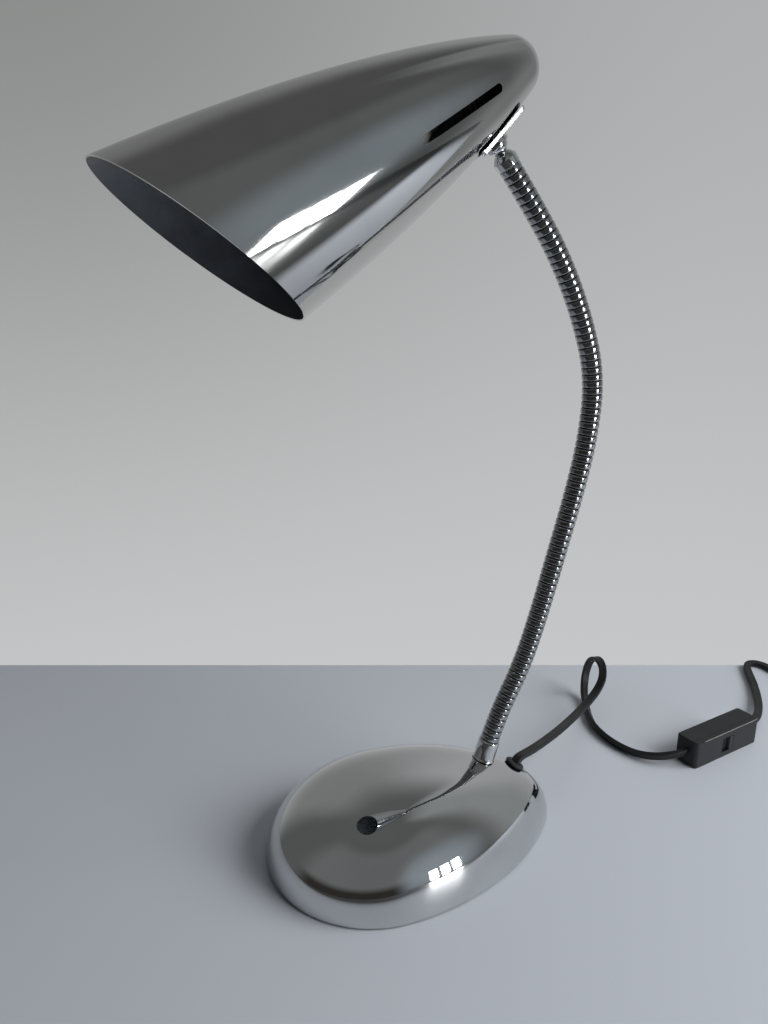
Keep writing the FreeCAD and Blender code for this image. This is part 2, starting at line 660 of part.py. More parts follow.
nut_hole = primitive("Part::Cylinder", "holder_nut_hole", Radius="holder_neck_radius + slide_fit",
                     Height="holder_nut_height")
cut("holder_nut", nut_blank, nut_hole).Placement = axis_frame * Placement(
    Vector(0, 0, -size("holder_nut_height")), Rotation())
turned("lampholder_skirt",
       [("holder_radius + slide_fit", "holder_length - skirt_length"),
        ("skirt_radius", "holder_length - skirt_length"), ("skirt_radius", "holder_length"),
        ("holder_radius + slide_fit", "holder_length")], axis_frame)
turned("bulb_cap",
       [("0", "holder_length - cap_length"), ("cap_radius / 2", "holder_length - cap_length"),
        ("cap_radius", "holder_length - cap_length * 0.8"), ("cap_radius", "holder_length + base_fit"),
        ("0", "holder_length + base_fit")], axis_frame)


def bulb():
    """A round bulb: a short neck that flares into a ball, blown hollow."""
    radius = size("bulb_radius")
    neck = size("cap_radius")
    low = size("holder_length") + size("base_fit") + size("slide_fit")
    middle = size("holder_length") - size("cap_length") + size("bulb_length") - radius
    meet = math.radians(52)
    shapes = []
    for inset in (0.0, size("bulb_glass")):
        foot = Vector(neck - inset, 0, low + inset)
        join = Vector((radius - inset) * math.sin(meet), 0, middle - (radius - inset) * math.cos(meet))
        side = Vector(radius - inset, 0, middle)
        top = Vector(0, 0, middle + radius - inset)
        shoulder = Vector((radius - inset) * math.sin(math.pi / 4), 0,
                          middle + (radius - inset) * math.sin(math.pi / 4))
        wrap = Vector((radius - inset) * math.sin((meet + math.pi / 2) / 2), 0,
                      middle - (radius - inset) * math.cos((meet + math.pi / 2) / 2))
        edges = [straight(Vector(0, 0, low + inset), foot), straight(foot, join),
                 Part.Arc(join, wrap, side).toShape(), Part.Arc(side, shoulder, top).toShape(),
                 straight(top, Vector(0, 0, low + inset))]
        shapes.append(Part.Face(Part.Wire(edges)).revolve(Vector(), Vector(0, 0, 1), 360))
    return shapes[0].cut(shapes[1])


keep("bulb_glass", bulb(), axis_frame)


def pair_of_cores(points, radius, spacing, side):
    """Two thin insulated wires side by side along one route."""
    tubes = []
    for sign in (1, -1):
        shift = side * (sign * spacing / 2)
        wire, radii = route_wire([spot + shift for spot in points])
        tubes.append(swept(wire, radius))
    return Part.makeCompound(tubes)


# wires inside the shade, from the ball's bore to the entry in the lampholder's side
into = seat_out * -1
bore_exit = ball_spot + into * (size("ball_radius") + size("base_fit"))
wire_points = [bore_exit, bore_exit + into * size("core_spacing"),
               Vector(bore_exit.x - size("core_spacing") / 2, 0, -size("holder_radius") - size("base_fit"))]
keep("head_leads", pair_of_cores(wire_points, size("core_radius") * 0.8, size("core_spacing") * 0.8,
                                 Vector(0, 1, 0)), head_frame)

# grommet, the lead's sheath inside it, the stop that keeps the lead in, and its two cores
cord_radius = size("cord_width") / 2
turned("cord_grommet",
       [("cord_width / 2 + slide_fit", "0 - grommet_depth"), ("grommet_lip", "0 - grommet_depth"),
        ("grommet_lip", "0 - shell_wall - base_fit * 3"), ("grommet_body", "0 - shell_wall - base_fit * 3"),
        ("grommet_body", "slide_fit * 3"), ("grommet_radius", "slide_fit * 3"),
        ("grommet_radius", "grommet_flange * 0.7"), ("grommet_radius * 0.85", "grommet_flange"),
        ("cord_width / 2 + slide_fit", "grommet_flange")], grommet_frame)
turned("sheath_in_base", [("0", "0 - sheath_inside"), ("cord_width / 2", "0 - sheath_inside"),
                          ("cord_width / 2", "grommet_flange"), ("0", "grommet_flange")], grommet_frame)
turned("cord_stop", [("cord_width / 2 + slide_fit", "0 - grommet_depth - stop_length"),
                     ("stop_radius", "0 - grommet_depth - stop_length"),
                     ("stop_radius", "0 - grommet_depth - slide_fit"),
                     ("cord_width / 2 + slide_fit", "0 - grommet_depth - slide_fit")], grommet_frame)
core_start = grommet_frame.multVec(Vector(0, 0, -size("sheath_inside") - size("slide_fit")))
core_down = grommet_frame.Rotation.multVec(Vector(0, 0, -1))
core_up = foot_frame.Rotation.multVec(Vector(0, 0, 1))
core_end = foot_frame.multVec(Vector(0, 0, size("nipple_grip")))
nipple_mouth = foot_frame.multVec(Vector(0, 0, -size("nipple_drop")))
low_z = weight_top + size("core_spacing")
first = core_start + core_down * size("core_spacing") * 2
last = nipple_mouth - core_up * size("core_spacing") * 2
middle = Vector((first.x + last.x) / 2, 0, low_z)
keep("base_cores", pair_of_cores([core_start, first, middle, last, core_end], size("core_radius"),
                                 size("core_spacing"), Vector(0, 1, 0)))

# in-line switch, lying on its side: local X along it, rocker on the local -Y face
switch_frame = Placement(switch_middle, Rotation(Vector(0, 0, 1), switch_turn))


def rounded_block(length, depth, height, low_y, radius, faces):
    """A block lying along X whose outer edges are rounded, but not those of its joint face."""
    block = Part.makeBox(length, depth, height, Vector(-length / 2, low_y, 0))
    edges = []
    for edge in block.Edges:
        middle = edge.CenterOfMass
        if abs(middle.y - faces) > radius / 10:
            edges.append(edge)
    return block.makeFillet(radius, edges)


front = -size("switch_depth") / 2
seam = front + size("switch_cover_depth")
cover = rounded_block(size("switch_length"), size("switch_cover_depth"), size("switch_height"),
                      front, size("switch_round"), seam)
back = rounded_block(size("switch_length"), size("switch_depth") - size("switch_cover_depth"),
                     size("switch_height"), seam, size("switch_round"), seam)
window_length = size("rocker_length") + 2 * size("rocker_gap")
window_height = size("rocker_height") + 2 * size("rocker_gap")
middle_z = size("switch_height") / 2
window_depth = size("switch_cover_depth") + size("rocker_depth")
window = Part.makeBox(window_length, window_depth, window_height,
                      Vector(-window_length / 2, front, middle_z - window_height / 2))
pin_y = seam
pin_hole = Part.makeCylinder(size("rocker_pin") + size("slide_fit"),
                             window_height + 2 * size("rocker_pin_length") + 2 * size("slide_fit"),
                             Vector(0, pin_y, middle_z - window_height / 2 - size("rocker_pin_length")
                                    - size("slide_fit")))
cover = cover.cut(window).cut(pin_hole)
back = back.cut(window).cut(pin_hole)
screws = []
for side in (1, -1):
    x = side * size("switch_screw_place")
    rear = size("switch_depth") / 2
    head_depth = size("switch_screw_radius")
    toward = Vector(0, -1, 0)
    shank_length = rear - seam + size("switch_cover_depth") / 2
    hole = Part.makeCylinder(size("switch_screw_radius") + size("slide_fit"), shank_length,
                             Vector(x, rear, middle_z), toward)
    recess = Part.makeCylinder(size("switch_screw_head") + size("slide_fit"), 2 * head_depth,
                               Vector(x, rear, middle_z), toward)
    back = back.cut(hole).cut(recess)
    cover = cover.cut(hole)
    head_low = rear - head_depth
    head = Part.makeCylinder(size("switch_screw_head"), head_depth, Vector(x, head_low, middle_z), toward)
    shank = Part.makeCylinder(size("switch_screw_radius"), shank_length - head_depth - size("slide_fit"),
                              Vector(x, head_low, middle_z), toward)
    screws.append(head.fuse(shank))
keep("switch_cover", cover, switch_frame)
keep("switch_back", back, switch_frame)
keep("switch_screws", Part.makeCompound(screws), switch_frame)


def rocker():
    """A rocker with a shallow V face and sloping ends, tipped to its rest side on two stub pins."""
    half = size("rocker_length") / 2
    proud = size("switch_cover_depth") + size("rocker_proud") * 0.75
    back_y = size("rocker_pin")
    taper = (proud - back_y) * math.tan(math.radians(rocker_side_slope))
    spots = [Vector(taper - half, -proud, 0), Vector(0, -proud + size("rocker_proud") * 0.4, 0),
             Vector(half - taper, -proud, 0), Vector(half, -back_y, 0), Vector(half * 0.5, back_y, 0),
             Vector(-half * 0.5, back_y, 0), Vector(-half, -back_y, 0), Vector(taper - half, -proud, 0)]
    block = Part.Face(Part.makePolygon(spots)).extrude(Vector(0, 0, size("rocker_height")))
    block.translate(Vector(0, 0, middle_z - size("rocker_height") / 2))
    pin = Part.makeCylinder(size("rocker_pin"), window_height + 2 * size("rocker_pin_length"),
                            Vector(0, 0, middle_z - window_height / 2 - size("rocker_pin_length")))
    return block.fuse(pin)


keep("switch_rocker", rocker(),
     switch_frame * Placement(Vector(0, pin_y, 0), Rotation(Vector(0, 0, 1), rocker_rest)))

# lead on the table: base to switch, switch to coil
entry = switch_frame.multVec(Vector(-size("switch_length") / 2, 0, middle_z))
leave = switch_frame.multVec(Vector(size("switch_length") / 2, 0, middle_z))
cord_exit = grommet_frame.multVec(Vector(0, 0, size("grommet_flange")))
exit_way = grommet_frame.Rotation.multVec(Vector(0, 0, 1))
switch_way = switch_frame.Rotation.multVec(Vector(1, 0, 0))
unit = size("layout_unit")
base_spots = [
    (8.0, 1.7, 45.1), (14.3, 5.6, 44.0), (27.5, 14.5, 39.4), (51.0, 33.4, 29.9),
    (76.0, 54.8, 21.8), (92.0, 66.9, 19.8), (103.0, 74.0, 20.8), (111.3, 78.8, 23.7),
    (116.9, 81.6, 29.4), (120.6, 86.5, 35.1), (123.1, 94.5, 37.7), (124.7, 103.4, 35.9),
    (125.2, 110.4, 29.9), (124.9, 113.7, 21.0), (122.7, 112.0, 11.9), (119.2, 106.2, 5.4),
    (115.5, 98.9, 3.1), (108.8, 85.0, 2.6), (102.9, 67.4, 2.6), (101.9, 50.8, 2.6),
    (104.7, 36.6, 2.6), (110.1, 24.0, 3.6), (117.8, 14.8, 6.2), (125.5, 10.2, 8.6)]
base_route = [cord_exit, cord_exit + exit_way * unit * 4.6]
base_route += [spot_on_table(*spot) for spot in base_spots]
base_route += [entry - switch_way * unit * 4.5, entry]
wire, radii = route_wire(base_route)
keep("cord_base_to_switch", swept(wire, cord_radius))
print("base to switch: length", round(wire.Length), "radii", radii)

coil_top = 2 * coil_turns + coil_extra_share
coil_outer = size("coil_inner_radius") + size("coil_pitch") * coil_turns
coil_low = cord_radius + size("tie_thickness")


def coil_radius(turn):
    """Winds in, dips a little while it climbs a layer in half a turn, and winds out again."""
    if turn < coil_turns:
        return coil_outer - size("coil_pitch") * turn
    if turn < coil_turns + 0.5:
        return size("coil_inner_radius") - size("coil_dip") * math.sin(2 * math.pi * (turn - coil_turns))
    return size("coil_inner_radius") + size("coil_pitch") * (turn - coil_turns - 0.5)


def coil_spot(turn):
    part = min(max((turn - coil_turns) * 2, 0.0), 1.0)
    climb = part ** 2 * (3 - 2 * part)
    angle = math.radians(coil_start_angle) + 2 * math.pi * turn
    radius = coil_radius(turn)
    return coil_middle + Vector(radius * math.cos(angle), radius * math.sin(angle),
                                coil_low + climb * size("coil_layer"))


def biarc(start, start_way, end, end_way):
    """Two arcs that leave one point and reach another in given directions."""
    span = end - start
    both = start_way + end_way
    spread = 2 * (1 - start_way.dot(end_way))
    along = span.dot(both)
    handle = (math.sqrt(along ** 2 + spread * span.dot(span)) - along) / spread
    first = start + start_way * handle
    second = end - end_way * handle
    meet = (first + second) * 0.5
    return [tangent_arc(start, first, meet), tangent_arc(meet, second, end)]


def tangent_arc(start, corner, end):
    one = (start - corner).normalize()
    two = (end - corner).normalize()
    half = (math.pi - one.getAngle(two)) / 2
    radius = (start - corner).Length / math.tan(half)
    middle = corner + (one + two).normalize() * (radius / math.cos(half) - radius)
    return Part.Arc(start, middle, end).toShape()


def coil_way(turn):
    nudge = 1e-4
    return (coil_spot(turn + nudge) - coil_spot(turn - nudge)).normalize()


quarter_turns = int(coil_top * 4)
edges = []
for quarter in range(quarter_turns):
    begin, finish = quarter / 4, (quarter + 1) / 4
    edges += biarc(coil_spot(begin), coil_way(begin), coil_spot(finish), coil_way(finish))
coil_wire = Part.Wire(edges)
keep("cord_coil", swept(coil_wire, cord_radius))
samples = 24
spots = [coil_spot(number / samples) for number in range(int(coil_top * samples))]
least = min((spots[a] - spots[b]).Length for a in range(len(spots))
            for b in range(a + samples // 2, len(spots)))
print("coil: length", round(coil_wire.Length), "least gap to itself", round(least - 2 * cord_radius, 2))

coil_in = coil_spot(0.0)
coil_in_way = coil_way(0.0)
table_spots = [
    (218.1, 32.1, 7.5), (232.0, 45.4, 5.0), (245.2, 61.2, 3.4), (256.4, 76.6, 2.7),
    (265.0, 90.4, 2.6), (271.3, 100.6, 2.6), (277.0, 105.6, 2.6), (283.0, 105.8, 2.6),
    (287.2, 101.0, 2.6), (288.6, 93.4, 2.6), (289.4, 84.0, 3.0)]
table_route = [leave, leave + switch_way * unit * 6.5]
table_route += [spot_on_table(*spot) for spot in table_spots]
table_route += [coil_in - coil_in_way * unit * 12, coil_in]
wire, radii = route_wire(table_route)
keep("cord_switch_to_coil", swept(wire, cord_radius))
print("switch to coil: length", round(wire.Length), "radii", radii)

# plug, lying flat, and the short end of the lead that reaches it
plug_frame = Placement(plug_front, Rotation(Vector(0, 0, 1), plug_turn))
plug_z = size("plug_height") / 2
half_width = size("plug_width") / 2
half_waist = size("plug_waist") / 2
nose = size("plug_length") / 3
plug_outline = [Vector(0, -half_width, 0), Vector(0, half_width, 0), Vector(-nose, half_width, 0),
                Vector(-size("plug_length"), half_waist, 0), Vector(-size("plug_length"), -half_waist, 0),
                Vector(-nose, -half_width, 0), Vector(0, -half_width, 0)]
plug = Part.Face(Part.makePolygon(plug_outline)).extrude(Vector(0, 0, size("plug_height")))
plug = plug.makeFillet(size("pin_radius"), [edge for edge in plug.Edges if edge.CenterOfMass.x < -nose / 10])
pins = []
for side in (1, -1):
    y = side * size("pin_spacing") / 2
    hole = Part.makeCylinder(size("pin_neck_radius") + size("slide_fit"), size("pin_root"),
                             Vector(-size("pin_root"), y, plug_z), Vector(1, 0, 0))
    plug = plug.cut(hole)
    root = Part.makeCylinder(size("pin_neck_radius"), size("pin_root") + size("pin_step"),
                             Vector(-size("pin_root"), y, plug_z), Vector(1, 0, 0))
    pin = Part.makeCylinder(size("pin_radius"), size("pin_length") - size("pin_step"),
                            Vector(size("pin_step"), y, plug_z), Vector(1, 0, 0))
    tip = [edge for edge in pin.Edges if edge.CenterOfMass.x > size("pin_length") - size("slide_fit")]
    pins.append(pin.makeChamfer(size("pin_radius") / 3, tip[:1]).fuse(root))
keep("plug_body", plug, plug_frame)
keep("plug_pins", Part.makeCompound(pins), plug_frame)
boot_frame = plug_frame * Placement(Vector(-size("plug_length"), 0, plug_z), Rotation(Vector(0, 1, 0), -90))
turned("plug_boot", [("cord_width / 2 + base_fit", "slide_fit"), ("boot_radius", "slide_fit"),
                     ("boot_tip", "boot_length"), ("cord_width / 2 + base_fit", "boot_length")], boot_frame)

coil_out = coil_spot(coil_top)
coil_out_way = coil_way(coil_top)
plug_way = plug_frame.Rotation.multVec(Vector(1, 0, 0))
plug_entry = plug_frame.multVec(Vector(-size("plug_length") - size("slide_fit"), 0, plug_z))
tail_spots = [
    (349.4, 22.0, 8.9), (359.3, 15.3, 8.4), (364.2, 4.5, 7.9), (362.2, -6.0, 7.4),
    (354.6, -12.6, 7.1)]
tail_route = [coil_out, coil_out + coil_out_way * unit * 11]
tail_route += [spot_on_table(*spot) for spot in tail_spots]
tail_route += [plug_entry - plug_way * unit * 18, plug_entry]
wire, radii = route_wire(tail_route)
keep("cord_coil_to_plug", swept(wire, cord_radius))
print("coil to plug: length", round(wire.Length), "radii", radii)

# tie round the coil's turns, where it has three turns below and three above
tie_turn = (405.0 - coil_start_angle) / 360
tie_half = size("tie_width") / 2
inner_side = coil_radius(coil_turns + tie_turn) - cord_radius
tie_in = math.sqrt(inner_side ** 2 - tie_half ** 2) - size("base_fit") - size("tie_thickness")
tie_out = coil_radius(tie_turn) + cord_radius + size("base_fit") + size("tie_thickness")
tie_height = coil_low + size("coil_layer") + cord_radius + size("base_fit") + size("tie_thickness")
tie = Part.makeBox(tie_out - tie_in, size("tie_width"), tie_height, Vector(tie_in, -tie_half, 0))
hollow = Part.makeBox(tie_out - tie_in - 2 * size("tie_thickness"), size("tie_width"),
                      tie_height - 2 * size("tie_thickness"),
                      Vector(tie_in + size("tie_thickness"), -tie_half, size("tie_thickness")))
keep("cord_tie", tie.cut(hollow), Placement(coil_middle, Rotation(Vector(0, 0, 1), 45)))

# checks and export
doc.recompute()
consumed = set()
for item in doc.Objects:
    if item.TypeId in ("Part::Cut", "Part::MultiFuse"):
        consumed.update(child.Name for child in item.OutList)
nodes = [item for item in doc.Objects if item.Name not in consumed
         and item.TypeId in ("Part::Feature", "PartDesign::Body", "Part::Cut", "Part::MultiFuse",
                             "Part::Cylinder", "Part::Box")]
for item in doc.Objects:
    if "Invalid" in item.State or "Error" in item.State:
        raise ValueError(f"{item.Label} failed: {item.State}")
for node in nodes:
    if node.Shape.isNull() or not node.Shape.isValid():
        raise ValueError(f"{node.Label} has no valid shape")
    if node.Shape.Volume <= 0:
        raise ValueError(f"{node.Label} has no volume")
for node in nodes:
    node.Shape.exportStep(f"parts/{node.Label}.step")
print(len(nodes), "nodes")
print("ball", [round(v, 4) for v in ball_frame.Base], "stem", [round(v, 5) for v in stem_way])
print("links", [[round(v, 4) for v in neck_frame(n * segment_length).Base] for n in range(1, neck_segments)])
print("link headings", headings)
pin_spot = switch_frame.multVec(Vector(0, pin_y, middle_z))
print("rocker pin", [round(v, 4) for v in pin_spot])
print("foot", [round(v, 4) for v in foot_frame.Base], round(math.degrees(foot_slope), 3))
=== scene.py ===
import math

import bmesh
import bpy
from mathutils import Matrix, Vector


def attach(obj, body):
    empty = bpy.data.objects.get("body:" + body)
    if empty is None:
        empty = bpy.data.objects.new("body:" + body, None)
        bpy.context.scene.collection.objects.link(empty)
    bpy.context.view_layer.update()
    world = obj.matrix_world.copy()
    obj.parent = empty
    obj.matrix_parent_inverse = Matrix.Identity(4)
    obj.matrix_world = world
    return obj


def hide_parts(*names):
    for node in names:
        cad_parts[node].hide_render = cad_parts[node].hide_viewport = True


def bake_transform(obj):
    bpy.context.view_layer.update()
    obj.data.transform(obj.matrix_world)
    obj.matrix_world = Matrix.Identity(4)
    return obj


# Desk lamp, dressed round its CAD frame. Sizes are in millimetres until a piece is set down.
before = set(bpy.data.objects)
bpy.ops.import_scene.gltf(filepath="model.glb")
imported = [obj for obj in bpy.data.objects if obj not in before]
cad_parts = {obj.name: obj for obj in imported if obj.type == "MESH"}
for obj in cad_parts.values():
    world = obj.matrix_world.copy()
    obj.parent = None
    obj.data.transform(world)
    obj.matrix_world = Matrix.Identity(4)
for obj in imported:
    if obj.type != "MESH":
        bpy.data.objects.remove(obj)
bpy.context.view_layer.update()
print("CAD frame loaded")

view = {"place": (-0.15396, -0.37816, 0.3281), "heading": 19.68, "pitch": 17.23, "lens": 29.14}


def aimCamera():
    camera = bpy.data.objects.new("camera", bpy.data.cameras.new("camera"))
    camera.data.lens = view["lens"]
    camera.data.sensor_width = 36
    camera.location = view["place"]
    camera.rotation_euler = (math.radians(90 - view["pitch"]), 0, -math.radians(view["heading"]))
    camera.data.clip_start = 0.01
    bpy.context.scene.collection.objects.link(camera)
    bpy.context.scene.camera = camera


aimCamera()


# finishes

def startFinish(name, colour, roughness, metallic=0.0):
    finish = bpy.data.materials.new(name)
    finish.use_nodes = True
    shader = finish.node_tree.nodes["Principled BSDF"]
    shader.inputs["Base Color"].default_value = (*colour, 1)
    shader.inputs["Roughness"].default_value = roughness
    shader.inputs["Metallic"].default_value = metallic
    return finish, finish.node_tree, shader


def objectNoise(tree, scale, detail=2.0, stretch=(1, 1, 1)):
    place = tree.nodes.new("ShaderNodeTexCoord")
    turn = tree.nodes.new("ShaderNodeMapping")
    turn.inputs["Scale"].default_value = stretch
    noise = tree.nodes.new("ShaderNodeTexNoise")
    noise.inputs["Scale"].default_value = scale
    noise.inputs["Detail"].default_value = detail
    tree.links.new(place.outputs["Object"], turn.inputs["Vector"])
    tree.links.new(turn.outputs["Vector"], noise.inputs["Vector"])
    return noise.outputs["Fac"]


def spread(tree, factor, low, high, start=0.35, stop=0.65):
    ranged = tree.nodes.new("ShaderNodeMapRange")
    ranged.inputs["From Min"].default_value = start
    ranged.inputs["From Max"].default_value = stop
    ranged.inputs["To Min"].default_value = low
    ranged.inputs["To Max"].default_value = high
    tree.links.new(factor, ranged.inputs["Value"])
    return ranged.outputs["Result"]


def tintBetween(tree, factor, first, second, start=0.35, stop=0.65):
    ramp = tree.nodes.new("ShaderNodeValToRGB")
    ramp.color_ramp.elements[0].position = start
    ramp.color_ramp.elements[0].color = (*first, 1)
    ramp.color_ramp.elements[1].position = stop
    ramp.color_ramp.elements[1].color = (*second, 1)
    tree.links.new(factor, ramp.inputs["Fac"])
    return ramp.outputs["Color"]


def addRelief(tree, shader, factor, strength, distance):
    bump = tree.nodes.new("ShaderNodeBump")
    bump.inputs["Strength"].default_value = strength
    bump.inputs["Distance"].default_value = distance
    tree.links.new(factor, bump.inputs["Height"])
    tree.links.new(bump.outputs["Normal"], shader.inputs["Normal"])


def chromePlate(name, tint, haze, smear, waviness):
    finish, tree, shader = startFinish(name, tint, haze, 1.0)
    cloud = objectNoise(tree, 32, 4)
    dust = objectNoise(tree, 900, 2)
    dull = tuple(c * 0.9 for c in tint)
    tree.links.new(tintBetween(tree, cloud, tint, dull, 0.45, 0.8), shader.inputs["Base Color"])
    added = tree.nodes.new("ShaderNodeMath")
    added.operation = "ADD"
    tree.links.new(spread(tree, cloud, haze, haze + smear), added.inputs[0])
    tree.links.new(spread(tree, dust, 0.0, smear, 0.6, 0.75), added.inputs[1])
    tree.links.new(added.outputs["Value"], shader.inputs["Roughness"])
    addRelief(tree, shader, objectNoise(tree, 14, 1), waviness, 0.0015)
    return finish


def mouldedPlastic(name, colour, roughness, grain, depth):
    finish, tree, shader = startFinish(name, colour, roughness)
    cloud = objectNoise(tree, 60, 3)
    pale = tuple(c * 1.5 + 0.002 for c in colour)
    tree.links.new(tintBetween(tree, cloud, colour, pale, 0.4, 0.75), shader.inputs["Base Color"])
    tree.links.new(spread(tree, cloud, roughness, roughness + 0.12), shader.inputs["Roughness"])
    addRelief(tree, shader, objectNoise(tree, grain, 2), 0.35, depth)
    return finish


def turnedMetal(name, colour, roughness, grain):
    finish, tree, shader = startFinish(name, colour, roughness, 1.0)
    lines = objectNoise(tree, grain, 3, (1, 1, 7))
    dark = tuple(c * 0.72 for c in colour)
    tree.links.new(tintBetween(tree, lines, dark, colour), shader.inputs["Base Color"])
    tree.links.new(spread(tree, lines, roughness, roughness + 0.15), shader.inputs["Roughness"])
    addRelief(tree, shader, lines, 0.1, 0.00005)
    return finish


def frostedGlass(name, frost, cloudy):
    finish, tree, shader = startFinish(name, frost, 0.18)
    cloud = objectNoise(tree, 40, 2)
    tree.links.new(tintBetween(tree, cloud, frost, cloudy), shader.inputs["Base Color"])
    shader.inputs["Subsurface Weight"].default_value = 0.25
    shader.inputs["Subsurface Radius"].default_value = (0.004, 0.004, 0.0035)
    return finish


finishes = {
    # chrome in three tints: the dome's copy, shared by the small chrome parts, is tinted lighter and the
    # shade's darker, painted light and shade for the room each mirrors; the neck's copy is darker still
    "chrome": chromePlate("polishedChrome", (0.66, 0.67, 0.675), 0.02, 0.03, 0.05),
    # a lighter, rougher copy of the chrome for the joint plate's long sides: its lighter tint is a painted
    # highlight
    "satinEdgeHighlight": chromePlate("satinEdgeHighlight", (0.72, 0.72, 0.72), 0.27, 0.04, 0.0),
    "shadeChrome": chromePlate("shadeChrome", (0.5, 0.502, 0.5), 0.05, 0.03, 0.04),
    "neckChrome": chromePlate("neckChrome", (0.4, 0.41, 0.42), 0.07, 0.06, 0.0),
    # near-black for the neck's rib valleys and the core ball in its last break: painted shade
    "grooveShade": turnedMetal("paintedGrooveShade", (0.03, 0.03, 0.032), 0.4, 300),
    "enamel": mouldedPlastic("greyEnamel", (0.092, 0.099, 0.112), 0.42, 700, 0.0001),
    "black": mouldedPlastic("blackPlastic", (0.009, 0.0095, 0.0105), 0.45, 1500, 0.00006),
    # a pale painted highlight along the switch cover's upper edge
    "switchEdgeHighlight": mouldedPlastic("paintedEdgeHighlight", (0.13, 0.135, 0.135), 0.4, 1500, 0.00004),
    "sheath": mouldedPlastic("cordSheath", (0.006, 0.0065, 0.007), 0.5, 500, 0.00008),
    "rubber": mouldedPlastic("softRubber", (0.014, 0.014, 0.015), 0.6, 900, 0.0001),
    "felt": mouldedPlastic("padRubber", (0.03, 0.03, 0.03), 0.85, 1400, 0.0003),
    "steel": turnedMetal("zincSteel", (0.55, 0.55, 0.54), 0.3, 160),
    "iron": turnedMetal("castIron", (0.14, 0.13, 0.125), 0.6, 220),
    "brass": turnedMetal("brass", (0.62, 0.47, 0.22), 0.28, 200),
    "nickel": turnedMetal("nickelPins", (0.62, 0.6, 0.57), 0.2, 260),
    "holder": mouldedPlastic("holderPlastic", (0.008, 0.008, 0.008), 0.5, 900, 0.00008),
    "cores": mouldedPlastic("coreSheath", (0.12, 0.16, 0.3), 0.45, 700, 0.00005),
    "glass": frostedGlass("frostedBulb", (0.83, 0.83, 0.8), (0.76, 0.76, 0.73)),
}
print("finishes made")


# shared ways of making and placing pieces

def axes(origin, along, up):
    z = Vector(up).normalized()
    x = (Vector(along) - z * Vector(along).dot(z)).normalized()
    y = z.cross(x)
    turn = Matrix((x, y, z)).transposed().to_4x4()
    return Matrix.Translation(Vector(origin)) @ turn


def shift(x=0.0, y=0.0, z=0.0):
    return Matrix.Translation((x, y, z))


def turnAbout(axis, degrees):
    return Matrix.Rotation(math.radians(degrees), 4, axis)


def spinOutline(outline, steps=64):
    bm = bmesh.new()
    spots = [bm.verts.new((radius, 0, height)) for radius, height in outline]
    lines = [bm.edges.new(pair) for pair in zip(spots, spots[1:])]
    bmesh.ops.spin(bm, geom=spots + lines, cent=(0, 0, 0), axis=(0, 0, 1),
                   angle=2 * math.pi, steps=steps, use_merge=True)
    bmesh.ops.remove_doubles(bm, verts=bm.verts, dist=0.001)
    bmesh.ops.recalc_face_normals(bm, faces=bm.faces)
    return bm


def roundEdges(bm, edges, radius, segments=2, clamp=False):
    bmesh.ops.bevel(bm, geom=edges, offset=radius, offset_type="OFFSET", segments=segments,
                    affect="EDGES", profile=0.5, material=-1, clamp_overlap=clamp)
    return bm


def uprightEdges(edges, least=1.0):
    return [edge for edge in edges if abs(edge.verts[0].co.z - edge.verts[1].co.z) > least]


def soften(bm, width, segments=2, limit=35):
    sharp = [edge for edge in bm.edges if edge.is_manifold
             and edge.calc_face_angle(0) > math.radians(limit)]
    return roundEdges(bm, sharp, width, segments, True)


def setDown(bm, name, place, body, look, stands=(), sharp=40, weighted=True):
    bmesh.ops.transform(bm, matrix=Matrix.Scale(0.001, 4) @ place, verts=bm.verts)
    mesh = bpy.data.meshes.new(name)
    bm.to_mesh(mesh)
    bm.free()
    piece = bpy.data.objects.new(name, mesh)
    bpy.context.scene.collection.objects.link(piece)
    for finish in look:
        mesh.materials.append(finishes[finish])
    mesh.shade_smooth()
    mesh.set_sharp_from_angle(angle=math.radians(sharp))
    if weighted:
        evened = piece.modifiers.new("evenShading", "WEIGHTED_NORMAL")
        evened.keep_sharp = True
    if body:
        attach(piece, body)
    if stands:
        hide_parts(*stands)
    return piece


def carve(bm, cutters):
    # cuts closed cutter shapes out of a closed shape, all in millimetres
    target = bpy.data.objects.new("blank", bpy.data.meshes.new("blank"))
    bpy.context.scene.collection.objects.link(target)
    bm.to_mesh(target.data)
    bm.free()
    tools = []
    for cutter in cutters:
        tool = bpy.data.objects.new("cutter", bpy.data.meshes.new("cutter"))
        bpy.context.scene.collection.objects.link(tool)
        bmesh.ops.recalc_face_normals(cutter, faces=cutter.faces)
        cutter.to_mesh(tool.data)
        cutter.free()
        tools.append(tool)
        step = target.modifiers.new("cut", "BOOLEAN")
        step.operation = "DIFFERENCE"
        step.solver = "EXACT"
        step.object = tool
    bpy.context.view_layer.update()
    shaped = target.evaluated_get(bpy.context.evaluated_depsgraph_get())
    result = bmesh.new()
    result.from_mesh(shaped.to_mesh())
    shaped.to_mesh_clear()
    for item in tools + [target]:
        bpy.data.objects.remove(item)
    return result


def block(length, depth, height, radius=0.0, segments=3):
    bm = bmesh.new()
    bmesh.ops.create_cube(bm, size=1)
    bmesh.ops.scale(bm, vec=(length, depth, height), verts=bm.verts)
    if radius:
        roundEdges(bm, list(bm.edges), radius, segments)
    return bm


def rod(radius, low, high, steps=32):
    return spinOutline([(0, low), (radius, low), (radius, high), (0, high)], steps)


def moved(bm, matrix):
    bmesh.ops.transform(bm, matrix=matrix, verts=bm.verts)
    return bm


